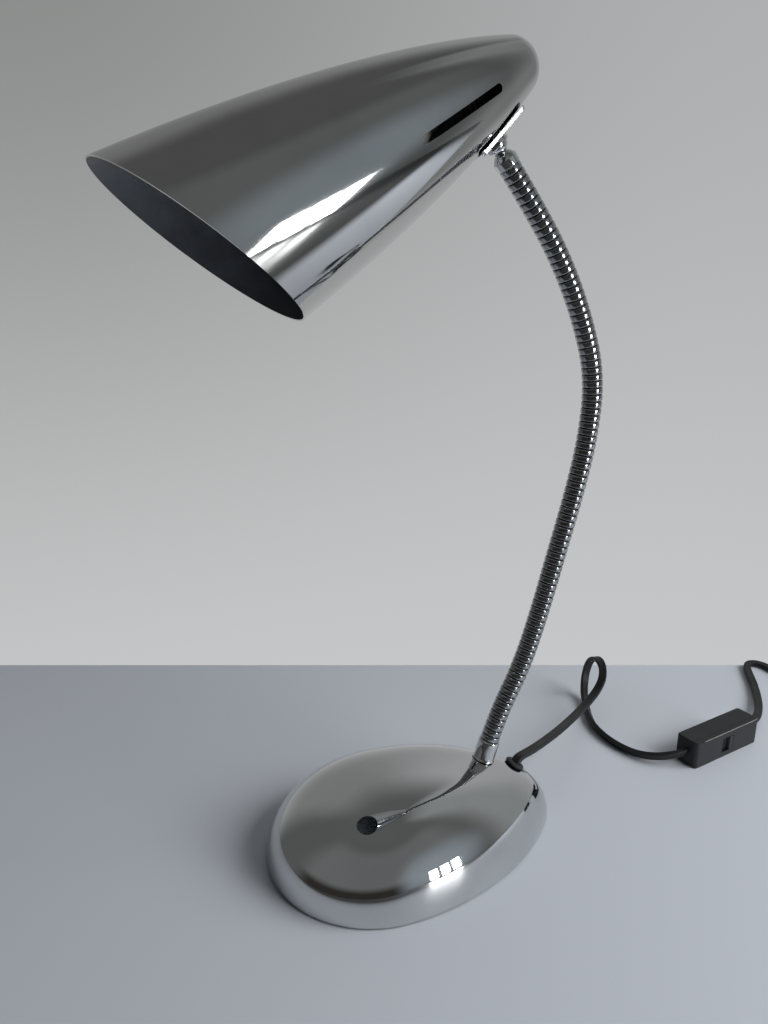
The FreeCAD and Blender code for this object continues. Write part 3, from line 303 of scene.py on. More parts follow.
def pullUp(outline, low, height):
    # a flat outline drawn up into a solid
    bm = bmesh.new()
    face = bm.faces.new([bm.verts.new((x, y, low)) for x, y in outline])
    raised = bmesh.ops.extrude_face_region(bm, geom=[face])["geom"]
    bmesh.ops.translate(bm, vec=(0, 0, height),
                        verts=[item for item in raised if isinstance(item, bmesh.types.BMVert)])
    bmesh.ops.recalc_face_normals(bm, faces=bm.faces)
    return bm


def paint(node, finish):
    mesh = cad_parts[node].data
    mesh.materials.clear()
    mesh.materials.append(finishes[finish])


# the lead first: its routes are the CAD's, with the flat sheath's own height on the table

lead = {
    "width": 5.6, "thickness": 3.0,
    "baseRoute": [
        (65.06, 0.0, 38.3), (66.2, 0.3, 39.7), (69.2, 2.0, 40.1), (77.6, 6.8, 38.2), (91.5, 15.6, 35.4),
        (115.0, 33.4, 29.2), (140.0, 54.8, 21.8), (156.0, 66.9, 19.8), (167.0, 74.0, 20.8),
        (175.3, 78.8, 23.7), (180.9, 81.6, 29.4), (184.6, 86.5, 35.1), (187.1, 94.5, 37.7),
        (188.7, 103.4, 35.9), (189.2, 110.4, 29.9), (188.9, 113.7, 21.0), (186.7, 112.0, 11.9),
        (183.2, 106.2, 5.6), (179.5, 98.9, 3.4), (172.8, 85.0, 2.9), (166.9, 67.4, 2.9),
        (165.9, 50.8, 2.9), (168.7, 36.6, 2.9), (174.1, 24.0, 3.7), (181.8, 14.8, 6.2),
        (189.5, 10.2, 8.6), (195.85, 8.83, 9.5), (200.26, 9.74, 9.5)],
    "baseTurns": [0] * 9 + [4, 10, 18, 26, 33, 38, 38, 33, 26, 18, 10, 4] + [0] * 7,
    "tableRoute": [
        (262.94, 22.66, 9.5), (269.3, 23.97, 9.5), (282.1, 32.1, 7.5), (296.0, 45.4, 5.0),
        (309.2, 61.2, 3.4), (320.4, 76.6, 2.7), (329.0, 90.4, 2.6), (335.3, 100.6, 2.6),
        (341.0, 105.6, 2.6), (347.0, 105.8, 2.6), (351.2, 101.0, 2.6), (352.6, 93.4, 2.6),
        (353.4, 84.0, 3.0), (354.1, 72.0, 3.35), (354.3, 60.0, 3.35)],
    "tailRoute": [
        (391.0, 24.7, 9.05), (402.0, 24.2, 9.05), (413.4, 22.0, 8.9), (423.3, 15.3, 8.4),
        (428.2, 4.5, 7.9), (426.2, -6.0, 7.4), (418.6, -12.6, 7.1), (401.5, -15.61, 6.9),
        (384.04, -19.96, 6.9)],
}
coil = {"middle": (391.0, 60.0), "start": 180, "inner": 19.6, "pitch": 5.7, "layer": 5.7,
        "turns": 3, "dip": 1.5, "extra": 0.25, "low": 3.35, "perTurn": 16}


def coilRoute():
    # winds in on the table, climbs a layer in half a turn, and winds out on top
    spots = []
    last = 2 * coil["turns"] + coil["extra"]
    for number in range(int(last * coil["perTurn"]) + 1):
        turn = number / coil["perTurn"]
        climb = min(max((turn - coil["turns"]) * 2, 0.0), 1.0)
        if turn < coil["turns"]:
            radius = coil["inner"] + coil["pitch"] * (coil["turns"] - turn)
        elif climb < 1:
            radius = coil["inner"] - coil["dip"] * math.sin(math.pi * climb)
        else:
            radius = coil["inner"] + coil["pitch"] * (turn - coil["turns"] - 0.5)
        angle = math.radians(coil["start"]) + 2 * math.pi * turn
        height = coil["low"] + coil["layer"] * climb ** 2 * (3 - 2 * climb)
        spots.append((coil["middle"][0] + radius * math.cos(angle),
                      coil["middle"][1] + radius * math.sin(angle), height))
    return spots


def leadOutline():
    # the flat sheath's own outline: two round sides and a shallow waist along the middle
    outline = bpy.data.curves.new("leadOutline", "CURVE")
    outline.dimensions = "2D"
    side = lead["thickness"] / 2000
    half = lead["width"] / 2000
    run = outline.splines.new("NURBS")
    spots = [(half, 0), (half, side), (half - side, side), (0, side * 0.86), (side - half, side),
             (-half, side), (-half, 0), (-half, -side), (side - half, -side), (0, -side * 0.86),
             (half - side, -side), (half, -side)]
    run.points.add(len(spots) - 1)
    for point, spot in zip(run.points, spots):
        point.co = (*spot, 0, 1)
    run.use_cyclic_u = True
    run.order_u = 3
    outline.resolution_u = 3
    held = bpy.data.objects.new("leadOutline", outline)
    bpy.context.scene.collection.objects.link(held)
    held.hide_render = True
    held.hide_viewport = True
    return held


sheathOutline = leadOutline()


def layCord(name, route, nodes, turns=None):
    # turns roll the flat sheath about its own line, in degrees at each point
    curve = bpy.data.curves.new(name, "CURVE")
    curve.dimensions = "3D"
    run = curve.splines.new("NURBS")
    run.points.add(len(route) - 1)
    for point, spot, turn in zip(run.points, route, turns or [0] * len(route)):
        point.co = (spot[0] / 1000, spot[1] / 1000, spot[2] / 1000, 1)
        point.tilt = math.radians(turn)
    run.order_u = 3
    run.use_endpoint_u = True
    run.resolution_u = 6
    curve.bevel_mode = "OBJECT"
    curve.bevel_object = sheathOutline
    curve.use_fill_caps = True
    curve.materials.append(finishes["sheath"])
    piece = bpy.data.objects.new(name, curve)
    bpy.context.scene.collection.objects.link(piece)
    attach(piece, "stand")
    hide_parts(*nodes)
    return piece


baseCord = layCord("leadFromBase", lead["baseRoute"], ["cord_base_to_switch"], lead["baseTurns"])
tableCord = layCord("leadToCoil", lead["tableRoute"], ["cord_switch_to_coil"])
coilSpots = coilRoute()
coilCord = layCord("leadCoil", coilSpots, ["cord_coil"], [90] * len(coilSpots))
tailCord = layCord("leadToPlug", lead["tailRoute"], ["cord_coil_to_plug"])
print("lead laid")


# base: a weighted pebble under a polished dome

base = {"length": 172.0, "width": 120.0, "nose": 18.0, "height": 51.8, "rim": 1.0, "power": 2.25,
        "wall": 1.2, "topLength": 172.0, "topWidth": 115.2, "edge": 0.4, "around": 192, "layers": 44}


def pebbleReach(angle):
    # how far the pebble's outline is from the middle, in one direction
    front = base["width"] / 2
    frontX = front - base["length"] / 2
    noseX = base["length"] / 2 - base["nose"]
    apart = noseX - frontX
    side = (apart ** 2 + front ** 2 - base["nose"] ** 2) / (2 * (front - base["nose"]))
    meet = math.asin(apart / (side - base["nose"]))
    way = Vector((math.cos(angle), abs(math.sin(angle))))
    shoulder = math.atan2(front, frontX)
    nose = math.atan2(base["nose"] * math.cos(meet), noseX + base["nose"] * math.sin(meet))
    turn = math.atan2(way.y, way.x)
    if turn > shoulder:
        middle, radius = Vector((frontX, 0)), front
    elif turn > nose:
        middle, radius = Vector((frontX, front - side)), side
    else:
        middle, radius = Vector((noseX, 0)), base["nose"]
    along = middle.dot(way)
    return along + math.sqrt(along ** 2 - middle.length_squared + radius ** 2)


def domeLift(share):
    return base["rim"] + (base["height"] - base["rim"]) * max(1 - share ** 2, 0) ** (1 / base["power"])


def makeDome():
    # rings drawn up from the rim, easing from the pebble's outline to an oval near the top
    bm = bmesh.new()
    for spot in bmesh.ops.create_circle(bm, segments=base["around"], radius=1)["verts"]:
        angle = math.atan2(spot.co.y, spot.co.x)
        reach = pebbleReach(angle)
        spot.co = (reach * math.cos(angle), reach * math.sin(angle), base["rim"])
    edges = list(bm.edges)
    for layer in range(1, base["layers"]):
        climb = math.pi / 2 * layer / base["layers"]
        share = math.cos(climb)
        lifted = bmesh.ops.extrude_edge_only(bm, edges=edges)["geom"]
        edges = [item for item in lifted if isinstance(item, bmesh.types.BMEdge)]
        for spot in [item for item in lifted if isinstance(item, bmesh.types.BMVert)]:
            angle = math.atan2(spot.co.y, spot.co.x)
            oval = 0.5 / math.hypot(math.cos(angle) / base["topLength"],
                                    math.sin(angle) / base["topWidth"])
            ease = (1 - share ** 2) ** 3
            reach = share * (pebbleReach(angle) * (1 - ease) + oval * ease)
            spot.co = (reach * math.cos(angle), reach * math.sin(angle), domeLift(share))
    crown = bmesh.ops.holes_fill(bm, edges=edges, sides=0)["faces"]
    bmesh.ops.poke(bm, faces=crown)
    for spot in bm.verts:
        if math.hypot(spot.co.x, spot.co.y) < 0.5:
            spot.co.z = base["height"]
    bmesh.ops.recalc_face_normals(bm, faces=bm.faces)
    piece = setDown(bm, "baseDome", Matrix(), "stand", ["chrome"], ["base_shell"], 60, False)
    wall = piece.modifiers.new("shellWall", "SOLIDIFY")
    wall.thickness = base["wall"] / 1000
    wall.offset = -1
    edge = piece.modifiers.new("rimEdge", "BEVEL")
    edge.width = base["edge"] / 1000
    edge.segments = 2
    edge.limit_method = "ANGLE"
    edge.angle_limit = math.radians(60)


makeDome()
print("base made")

# solids that show as they are, with a finish of their own
plainNodes = {
    "steel": ("bottom_plate", "plate_screws", "neck_nipple", "neck_washer", "neck_nut", "holder_strip",
              "switch_screws", "clamp_screws"),
    "iron": ("base_weight",), "felt": ("base_pad",), "black": ("cord_stop", "cord_tie"),
    "sheath": ("sheath_in_base",), "cores": ("base_cores", "head_leads"),
    "nickel": ("bulb_cap", "plug_pins")}
for finish, nodes in plainNodes.items():
    for node in nodes:
        paint(node, finish)
print("plain nodes painted")

# foot of the neck and the grommet, both square to the dome's skin

foot = {"place": 43.15, "radius": 6.2, "flare": 0.4, "height": 12.5, "inside": 4.95}
grommet = {"place": 64.0, "radius": 5.8, "flange": 2.2, "waist": 3.9, "hole": 2.6, "barb": 4.9,
           "bottom": -4.2, "barbTop": -2.2}


def domeFrame(place):
    step = base["length"] / 1000
    half = base["length"] / 2
    fall = domeLift((place - step) / half) - domeLift((place + step) / half)
    slope = math.atan2(fall, 2 * step)
    out = Vector((math.sin(slope), 0, math.cos(slope)))
    return axes((place, 0, domeLift(place / half)), (out.z, 0, -out.x), out)


footFrame = domeFrame(foot["place"])
grommetFrame = domeFrame(grommet["place"])


def makeFoot():
    radius, inside = foot["radius"], foot["inside"]
    wide = radius + foot["flare"]
    ferrule = spinOutline([
        (inside, 0.05), (wide, 0.05), (wide, 0.5), (wide - 0.15, 1.0), (radius, 1.7),
        (radius - 0.05, 6.0), (radius, 11.2), (radius - 0.12, 12.0),
        (radius - 0.5, foot["height"]), (inside, foot["height"]), (inside, 0.05)], 72)
    setDown(soften(ferrule, 0.15), "footFerrule", footFrame, "stand", ["chrome"], ["lower_ferrule"])


def makeGrommet():
    # a flange on the dome, a waist through its wall and a barb inside
    radius, hole, waist, barb = grommet["radius"], grommet["hole"], grommet["waist"], grommet["barb"]
    low, top = grommet["bottom"], grommet["flange"]
    ring = spinOutline([
        (hole, low), (barb, low), (barb, grommet["barbTop"]), (waist, grommet["barbTop"] + 0.1),
        (waist, 0.15), (radius - 0.2, 0.15), (radius, 0.5), (radius, 1.2), (radius - 0.6, 1.9),
        (radius - 1.6, top), (hole + 0.3, top), (hole, top - 0.4), (hole, low)], 56)
    setDown(soften(ring, 0.12), "leadGrommet", grommetFrame, "stand", ["rubber"], ["cord_grommet"])


makeFoot()
makeGrommet()
print("foot and grommet made")

# neck: one ribbed tube in lengths that bend from the middle of one segment to the next

neck = {"length": 333.65, "segments": 10, "radius": 5.5, "depth": 0.6, "ribs": 9, "around": 40,
        "coreGap": 0.06,
        "headings": [17.198, 25.23, 16.43, 14.03, 14.53, 11.53, 2.43, -18.67, -27.27, -35.97, -38.67]}
neckStart = footFrame @ Vector((0, 0, foot["height"]))
segmentLength = neck["length"] / neck["segments"]


def neckFrame(distance):
    # place and heading of the neck's line, an arc in each segment
    x, z = neckStart.x, neckStart.z
    left = distance
    heading = math.radians(neck["headings"][0])
    for index in range(neck["segments"]):
        run = min(left, segmentLength) if index < neck["segments"] - 1 and left > 0 else left
        first = math.radians(neck["headings"][index])
        turn = (math.radians(neck["headings"][index + 1]) - first) * run / segmentLength
        heading = first + turn
        if abs(turn) > 1e-9:
            x += run / turn * (math.cos(first) - math.cos(heading))
            z += run / turn * (math.sin(heading) - math.sin(first))
        else:
            x += run * math.sin(first)
            z += run * math.cos(first)
        left -= run
        if left <= 1e-9:
            break
    return Matrix.Translation((x, 0, z)) @ Matrix.Rotation(heading, 4, "Y")


ribShape = [(0.0, 0.0), (0.08, 0.02), (0.1, 0.55), (0.14, 0.88), (0.24, 0.985), (0.5, 1.0),
            (0.76, 0.985), (0.86, 0.88), (0.9, 0.55), (0.92, 0.02)]


def ribbedLength(name, start, end, bodies, nodes):
    # a straight ribbed tube, then laid along the neck's line
    pitch = segmentLength / neck["ribs"]
    valley = neck["radius"] - neck["depth"]
    outline = []
    count = round((end - start) / pitch)
    for rib in range(count):
        for along, lift in ribShape:
            outline.append((valley + lift * neck["depth"], (rib + along) * pitch))
    outline.append((valley, count * pitch))
    bm = spinOutline(outline, neck["around"])
    # faces deep in the rib valleys take the near-black finish: painted shade in the grooves
    for face in bm.faces:
        middle = face.calc_center_median()
        if math.hypot(middle.x, middle.y) < valley + 0.15 * neck["depth"]:
            face.material_index = 1
    for spot in bm.verts:
        spot.co = neckFrame(start + spot.co.z) @ Vector((spot.co.x, spot.co.y, 0))
    centre = neckFrame((start + end) / 2).translation
    if sum(face.normal.dot(face.calc_center_median() - centre) for face in bm.faces) < 0:
        bmesh.ops.reverse_faces(bm, faces=bm.faces)
    body = bodies[0] if len(bodies) == 1 else None
    piece = setDown(bm, name, Matrix(), body, ["neckChrome", "grooveShade"], nodes, 50, False)
    if len(bodies) == 2:
        neckFrame(start).translation / 1000
        neckFrame(end).translation / 1000
        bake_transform(piece)


def makeNeck():
    bodies = ["stand"] + [f"neck_{number}" for number in range(2, 11)]
    rib = segmentLength / neck["ribs"]
    half = segmentLength * 4 / neck["ribs"]  # a whole number of ribs
    ribbedLength("neckLength00", -rib, half, ["stand"], ["neck_segment_01"])
    for number in range(8):
        ribbedLength(f"neckLength{number + 1:02d}", number * segmentLength + half,
                     (number + 1) * segmentLength + half, bodies[number:number + 2],
                     [f"neck_segment_{number + 2:02d}"])
    # the last bend is a plain break between two ribs, closed by a ball inside the tube
    lastJoint = 9 * segmentLength
    ribbedLength("neckLength09", 8 * segmentLength + half, lastJoint, ["neck_9"], [])
    ribbedLength("neckLength10", lastJoint, neck["length"] + rib, ["neck_10"], ["neck_segment_10"])
    # the core ball in the break takes the same near-black painted shade
    core = bmesh.new()
    bmesh.ops.create_uvsphere(core, u_segments=32, v_segments=20,
                              radius=neck["radius"] - neck["depth"] - neck["coreGap"])
    setDown(core, "neckCore", neckFrame(lastJoint), "neck_9", ["grooveShade"], (), 60, False)


makeNeck()
print("neck made")

# swivel: the upper ferrule and its ball

swivel = {"stem": 8.6, "ferruleBase": 2.9, "ferrule": 6.0, "ball": 5.5, "shoulder": 3.5, "toFerrule": 4.9,
          "drop": 2.6, "stud": 2.9, "bore": 2.2}
neckEnd = neckFrame(neck["length"])
ballFrame = neckEnd @ shift(z=swivel["stem"] + swivel["ferruleBase"])


def makeSwivel():
    # the ferrule narrows to a shoulder, and the ball's hollow stud stands on it
    low, top = -swivel["ferruleBase"] - swivel["stem"], -swivel["toFerrule"]
    wide, shoulder, bend = swivel["ferrule"], swivel["shoulder"], top - swivel["drop"]
    ferrule = spinOutline([
        (4.95, low), (wide - 0.25, low), (wide, low + 0.3), (wide, bend - 0.4), (wide - 0.12, bend),
        (wide - 0.7, bend + 0.6), (shoulder + 0.7, top - 0.5), (shoulder, top - 0.1),
        (shoulder - 0.1, top), (2.25, top), (2.25, -7.65), (4.95, -7.65), (4.95, low)], 64)
    setDown(ferrule, "upperFerrule", ballFrame, "neck_10", ["chrome"], ["upper_ferrule"], 50)
    radius = swivel["ball"]
    start = math.pi - math.asin(swivel["stud"] / radius)
    end = math.asin(swivel["bore"] / radius)
    outline = [(swivel["stud"], top + 0.05)]
    for number in range(21):
        angle = start - (start - end) * number / 20
        outline.append((radius * math.sin(angle), radius * math.cos(angle)))
    outline += [(swivel["bore"], top + 0.05), (swivel["stud"], top + 0.05)]
    setDown(spinOutline(outline, 64), "swivelBall", ballFrame, "swivel", ["chrome"], ["swivel_ball"],
            50, False)


makeSwivel()
print("swivel made")

# shade: a bullet shell with a slanting mouth, a slot each side, and grey enamel inside

shade = {"length": 200.4, "short": 155.0, "mouth": 54.0, "end": 7.0, "tip": 6.2, "wall": 0.8,
         "seat": 31.3, "slotStart": 28.7, "slotEnd": 77.3, "slotWidth": 4.0, "slotAngle": 66.8,
         "slotDeep": 60.0, "startShare": 0.0745, "power": 0.732, "swell": 0.346, "yaw": -2.4,
         "pitch": 28.8, "roll": 13.3, "holderPlace": 13.6, "around": 176, "rings": 84}
joint = {"plate": (31.0, 14.0, 1.8), "corner": 2.0, "draft": 22, "offset": 4.5, "ballDepth": 0.4,
         "seat": 5.6, "collar": 6.5, "collarHeight": 2.3, "screw": 8.7, "screwHole": 1.3}


def shadeReach(along):
    # the shell's radius, with a rounder start at the small end
    start = shade["startShare"] * shade["length"]
    if along < shade["tip"]:
        return shade["end"] + 1.49 * along - 0.0853 * along ** 2
    reach = (along + start) / (shade["length"] + start)
    return shade["mouth"] * reach ** shade["power"] * (1 + shade["swell"] * (1 - reach))


step = shade["length"] / 1000
seatSlope = math.atan2(shadeReach(shade["seat"] + step) - shadeReach(shade["seat"] - step), 2 * step)
seatOut = Vector((-math.sin(seatSlope), 0, -math.cos(seatSlope)))
seatAlong = Vector((math.cos(seatSlope), 0, -math.sin(seatSlope)))
ballSpot = Vector((shade["seat"], 0, -shadeReach(shade["seat"]))) \
    + seatOut * (joint["plate"][2] + joint["ballDepth"]) + seatAlong * joint["offset"]
headTurn = turnAbout("Z", 180 + shade["yaw"]) @ turnAbout("Y", shade["pitch"]) @ turnAbout("X", shade["roll"])
headFrame = Matrix.Translation(ballFrame.translation - headTurn @ ballSpot) @ headTurn
swivelFrame = headFrame @ axes(ballSpot, seatAlong, seatOut)
axisFrame = headFrame @ shift(x=shade["holderPlace"]) @ turnAbout("Y", 90)


def slotCutter(side):
    bm = block(shade["slotEnd"] - shade["slotStart"], shade["slotWidth"], shade["slotDeep"])
    roundEdges(bm, uprightEdges(bm.edges), shade["slotWidth"] / 2 - 0.01, 8)
    moved(bm, shift((shade["slotStart"] + shade["slotEnd"]) / 2, 0, shade["slotDeep"] / 2 + 2))
    return moved(bm, turnAbout("X", 180 + side * shade["slotAngle"]))


def makeShade():
    outline = [(0, 0), (shade["end"] - 0.9, 0.0), (shade["end"] - 0.35, 0.12), (shade["end"], 0.45)]
    span = shade["length"] + 3
    for number in range(1, shade["rings"] + 1):
        along = 0.45 + (span - 0.45) * (number / shade["rings"]) ** 1.35
        outline.append((shadeReach(along), along))
    bm = spinOutline(outline, shade["around"])
    moved(bm, turnAbout("Y", 90))
    upper = Vector((shade["length"], 0, shadeReach(shade["length"])))
    lower = Vector((shade["short"], 0, -shadeReach(shade["short"])))
    across = (upper - lower).cross(Vector((0, 1, 0))).normalized()
    if across.x < 0:
        across = -across
    bmesh.ops.bisect_plane(bm, geom=list(bm.verts) + list(bm.edges) + list(bm.faces), dist=0.001,
                           plane_co=upper, plane_no=across, clear_outer=True)
    bmesh.ops.recalc_face_normals(bm, faces=bm.faces)
    inner = bmesh.ops.solidify(bm, geom=list(bm.faces), thickness=shade["wall"])
    for item in inner["geom"]:
        if isinstance(item, bmesh.types.BMFace):
            item.material_index = 1
    bm = carve(bm, [slotCutter(1), slotCutter(-1),
                    moved(rod(swivel["ball"] + 0.3, -9, 9, 40), axes(ballSpot, seatAlong, seatOut))])
    setDown(bm, "shadeShell", headFrame, "head", ["shadeChrome", "enamel"], ["shade"], 42)


def makePlate():
    # a flat bar across the neck's end, with rounded corners, slanting sides and a seat for the ball
    length, width, thick = joint["plate"]
    bm = block(length, width, thick)
    roundEdges(bm, uprightEdges(bm.edges, thick / 2), joint["corner"], 8)
    slant = thick * math.tan(math.radians(joint["draft"]))
    outer = [spot for spot in bm.verts if spot.co.z > 0]
    bmesh.ops.scale(bm, vec=(1 - 2 * slant / length, 1 - 2 * slant / width, 1), verts=outer)
    soften(bm, 0.12, 2, 60)
    # the long sides take the lighter chrome, a painted highlight band
    for face in bm.faces:
        if abs(face.normal.y) > 0.6:
            face.material_index = 1
    moved(bm, shift(-joint["offset"], 0, -joint["ballDepth"] - thick / 2))
    seat = spinOutline([(0, -3), (4.9, -3), (5.1, -2.2), (5.54, -0.4), (joint["seat"], 1), (0, 1)], 56)
    holes = [moved(rod(joint["screwHole"], -3, 1, 24), shift(side * joint["screw"])) for side in (1, -1)]
    setDown(carve(bm, [seat] + holes), "jointPlate", swivelFrame, "head", ["chrome", "satinEdgeHighlight"],
            ["joint_plate"], 40)


def makeCollar():
    radius, top = joint["collar"], joint["collarHeight"]
    inner = math.sqrt(joint["seat"] ** 2 - 0.3 ** 2)
    ring = spinOutline([(inner, 0), (radius, 0), (radius, 1.5), (6.35, 1.9), (6.05, top), (5.45, top),
                        (5.4, 1.9), (inner, 0.4), (inner, 0)], 72)
    setDown(ring, "ballCollar", swivelFrame @ shift(z=-joint["ballDepth"]), "head", ["chrome"],
            ["ball_collar"], 50)


makeShade()
makePlate()
makeCollar()
print("shade and joint made")

# lampholder and bulb inside the shade

holder = {"neck": 4.9, "back": 9.5, "radius": 13.0, "taper": 10.0, "length": 42.0, "bore": 7.2,
          "wire": 3.0, "skirt": 14.4, "skirtInner": 13.05, "skirtLength": 16.0, "ridges": 5,
          "nut": 8.08, "nutHeight": 3.1, "nutHole": 4.95, "nutPlace": -1.65}
bulb = {"radius": 22.5, "length": 78.0, "cap": 6.9, "capLength": 22.0}


def makeHolder():
    radius, back, bore, wire = holder["radius"], holder["back"], holder["bore"], holder["wire"]
    taper, end = holder["taper"], holder["length"]
    body = spinOutline([
        (wire, -3.2), (holder["neck"], -3.2), (holder["neck"], 1.25), (back, 1.25), (back + 0.6, 2.0),
        (radius - 0.4, taper - 0.7), (radius, taper), (radius, 24.5), (radius - 0.5, 25.0),
        (radius - 0.5, 25.8), (radius, 26.0), (radius, end), (bore + 0.6, end), (bore, end - 0.6),
        (bore, 19.7), (wire, 19.7), (wire, -3.2)], 56)
    setDown(soften(body, 0.2), "lampholderBody", axisFrame, "head", ["holder"], ["lampholder"])


def makeRingNut():
    inner, radius, end = holder["skirtInner"], holder["skirt"], holder["length"]
    start = end - holder["skirtLength"]
    outline = [(inner, start), (radius - 0.3, start), (radius, start + 0.4)]
    for ridge in range(holder["ridges"]):
        at = start + 1.5 + ridge * 2.4
        outline += [(radius, at), (radius - 0.5, at + 0.6), (radius - 0.5, at + 1.2), (radius, at + 1.8)]
    outline += [(radius, end - 0.4), (radius - 0.4, end), (inner, end), (inner, start)]
    setDown(spinOutline(outline, 56), "shadeRingNut", axisFrame, "head", ["holder"],
            ["lampholder_skirt"], 50)


def makeHolderNut():
    nut = bmesh.new()
    bmesh.ops.create_cone(nut, cap_ends=True, segments=6, radius1=holder["nut"], radius2=holder["nut"],
                          depth=holder["nutHeight"])
    nut = carve(soften(nut, 0.35, 2, 50), [rod(holder["nutHole"], -4, 4, 40)])
    setDown(nut, "holderNut", axisFrame @ shift(z=holder["nutPlace"]), "head", ["brass"],
            ["holder_nut"], 35)


def makeBulb():
    # the glass from just above the holder's mouth: a short neck, then a ball
    radius, cap = bulb["radius"], bulb["cap"]
    middle = holder["length"] - bulb["capLength"] + bulb["length"] - radius
    low = holder["length"] + 0.4
    outline = [(0, low), (cap - 0.4, low), (cap, low + 0.4), (cap + 0.1, low + 3.5)]
    for degrees in range(136, -1, -8):
        angle = math.radians(degrees)
        spot = (radius * math.sin(angle), middle + radius * math.cos(angle))
        if spot[1] > low + 9:
            outline.append(spot)
    outline[-1] = (0, middle + radius)
    setDown(spinOutline(outline, 72), "roundBulb", axisFrame, "head", ["glass"], ["bulb_glass"],
            60, False)


makeHolder()
makeRingNut()
makeHolderNut()
makeBulb()
print("lampholder and bulb made")

# in-line switch on its side: two shell halves, a rocker, two screws

switch = {"middle": (231.6, 16.2, 0), "turn": 11.64, "length": 64.0, "depth": 17.5, "height": 19.0,
          "cover": 4.0, "corner": 2.4, "edge": 0.9, "seam": 0.25, "highlightReach": 0.38,
          "rocker": (11.0, 10.0), "gap": 0.3, "tip": 5.5, "screw": 22.0, "screwHole": 2.45}
switchFrame = Matrix.Translation(switch["middle"]) @ turnAbout("Z", switch["turn"])


def switchHalf(lowY, depth, jointY):
    # rounded corners, crisp long edges and a small chamfer along the seam
    bm = block(switch["length"], depth, switch["height"])
    moved(bm, shift(0, lowY + depth / 2, switch["height"] / 2))
    outer = [edge for edge in bm.edges
             if abs((edge.verts[0].co.y + edge.verts[1].co.y) / 2 - jointY) > 0.1]
    roundEdges(bm, uprightEdges(outer), switch["corner"], 6)
    level = [edge for edge in bm.edges if edge.calc_face_angle(0) > math.radians(60)
             and max(abs(spot.co.y - jointY) for spot in edge.verts) > 0.1]
    roundEdges(bm, level, switch["edge"], 3)
    seam = [edge for edge in bm.edges if edge.calc_face_angle(0) > math.radians(35)]
    return roundEdges(bm, seam, switch["seam"], 2)


def paintFrontEdgeHighlight(bm):
    # the cover's long upper edge gets a pale painted highlight, but not right up to the lead's end
    start = -switch["highlightReach"] * switch["length"]
    bmesh.ops.bisect_plane(bm, geom=list(bm.verts) + list(bm.edges) + list(bm.faces), dist=0.001,
                           plane_co=(start, 0, 0), plane_no=(1, 0, 0))
    for face in bm.faces:
        if face.normal.y < -0.3 and face.normal.z > 0.3 and face.calc_center_median().x > start:
            face.material_index = 1
    return bm


def rockerOpening():
    width, height = (side + 2 * switch["gap"] for side in switch["rocker"])
    return moved(block(width, 14, height, 0.25), shift(0, -switch["depth"] / 2, switch["height"] / 2))


def makeSwitch():
    front = -switch["depth"] / 2
    seam = front + switch["cover"]
    middle = switch["height"] / 2
    # the cover's upper edge carries the pale painted highlight
    cover = carve(paintFrontEdgeHighlight(switchHalf(front, switch["cover"], seam)), [rockerOpening()])
    setDown(cover, "switchCover", switchFrame, "stand", ["black", "switchEdgeHighlight"], ["switch_cover"],
            38)
    cuts = [rockerOpening()]
    for side in (1, -1):
        place = shift(side * switch["screw"], switch["depth"] / 2, middle) @ turnAbout("X", 90)
        cuts.append(moved(rod(switch["screwHole"], -1, 1.4, 32), place))
    back = carve(switchHalf(seam, switch["depth"] - switch["cover"], seam), cuts)
    setDown(back, "switchBack", switchFrame, "stand", ["black"], ["switch_back"], 38)
    # the rocker is low on the left and proud on the right, with a step between
    half = switch["rocker"][0] / 2
    outline = [(-half + 0.3, -2.2), (-half * 0.5, -1.9), (0.4, -1.8), (1.0, -4.4), (half * 0.55, -4.55),
               (half - 0.5, -4.6), (half, -0.9), (half * 0.5, 0.9), (-half * 0.5, 0.9), (-half, -0.9)]
    rocker = pullUp(outline, -switch["rocker"][1] / 2, switch["rocker"][1])
    place = switchFrame @ shift(0, seam, middle) @ turnAbout("Z", switch["tip"])
    setDown(soften(rocker, 0.35, 3, 20), "switchRocker", place, "rocker", ["black"],
            ["switch_rocker"], 40)


makeSwitch()
print("switch made")

# plug and its boot

plug = {"front": (351.0, -28.2, 0), "turn": 194, "length": 34.0, "width": 35.0, "waist": 17.0,
        "height": 13.8, "edge": 2.0, "grips": 4, "grip": (1.4, 4.5, 9), "gripStart": 13.5,
        "gripStep": (3.6, 1.9), "boot": 14.0, "bootRadius": 5.2, "bootHole": 2.85, "ridges": 5}
plugFrame = Matrix.Translation(plug["front"]) @ turnAbout("Z", plug["turn"])


def makePlug():
    nose, length, middle = plug["length"] / 3, plug["length"], plug["height"] / 2
    half, waist, cheek = plug["width"] / 2, plug["waist"] / 2, plug["width"] * 0.4
    bm = pullUp([(0, -half), (0, half), (-nose, half), (-nose * 1.9, cheek), (-length, waist),
                 (-length, -waist), (-nose * 1.9, -cheek), (-nose, -half)], 0, plug["height"])
    rounded = [edge for edge in bm.edges if (edge.verts[0].co + edge.verts[1].co).x / 2 < -1]
    roundEdges(bm, rounded, plug["edge"], 5)
    grips = []
    back, inward = plug["gripStep"]
    for side in (1, -1):
        for number in range(plug["grips"]):
            place = shift(-plug["gripStart"] - back * number, side * (half - 0.4 - inward * number), middle)
            grips.append(moved(block(*plug["grip"], 0.6, 2), place))
    setDown(carve(bm, grips), "plugBody", plugFrame, "stand", ["black"], ["plug_body"],
            38)


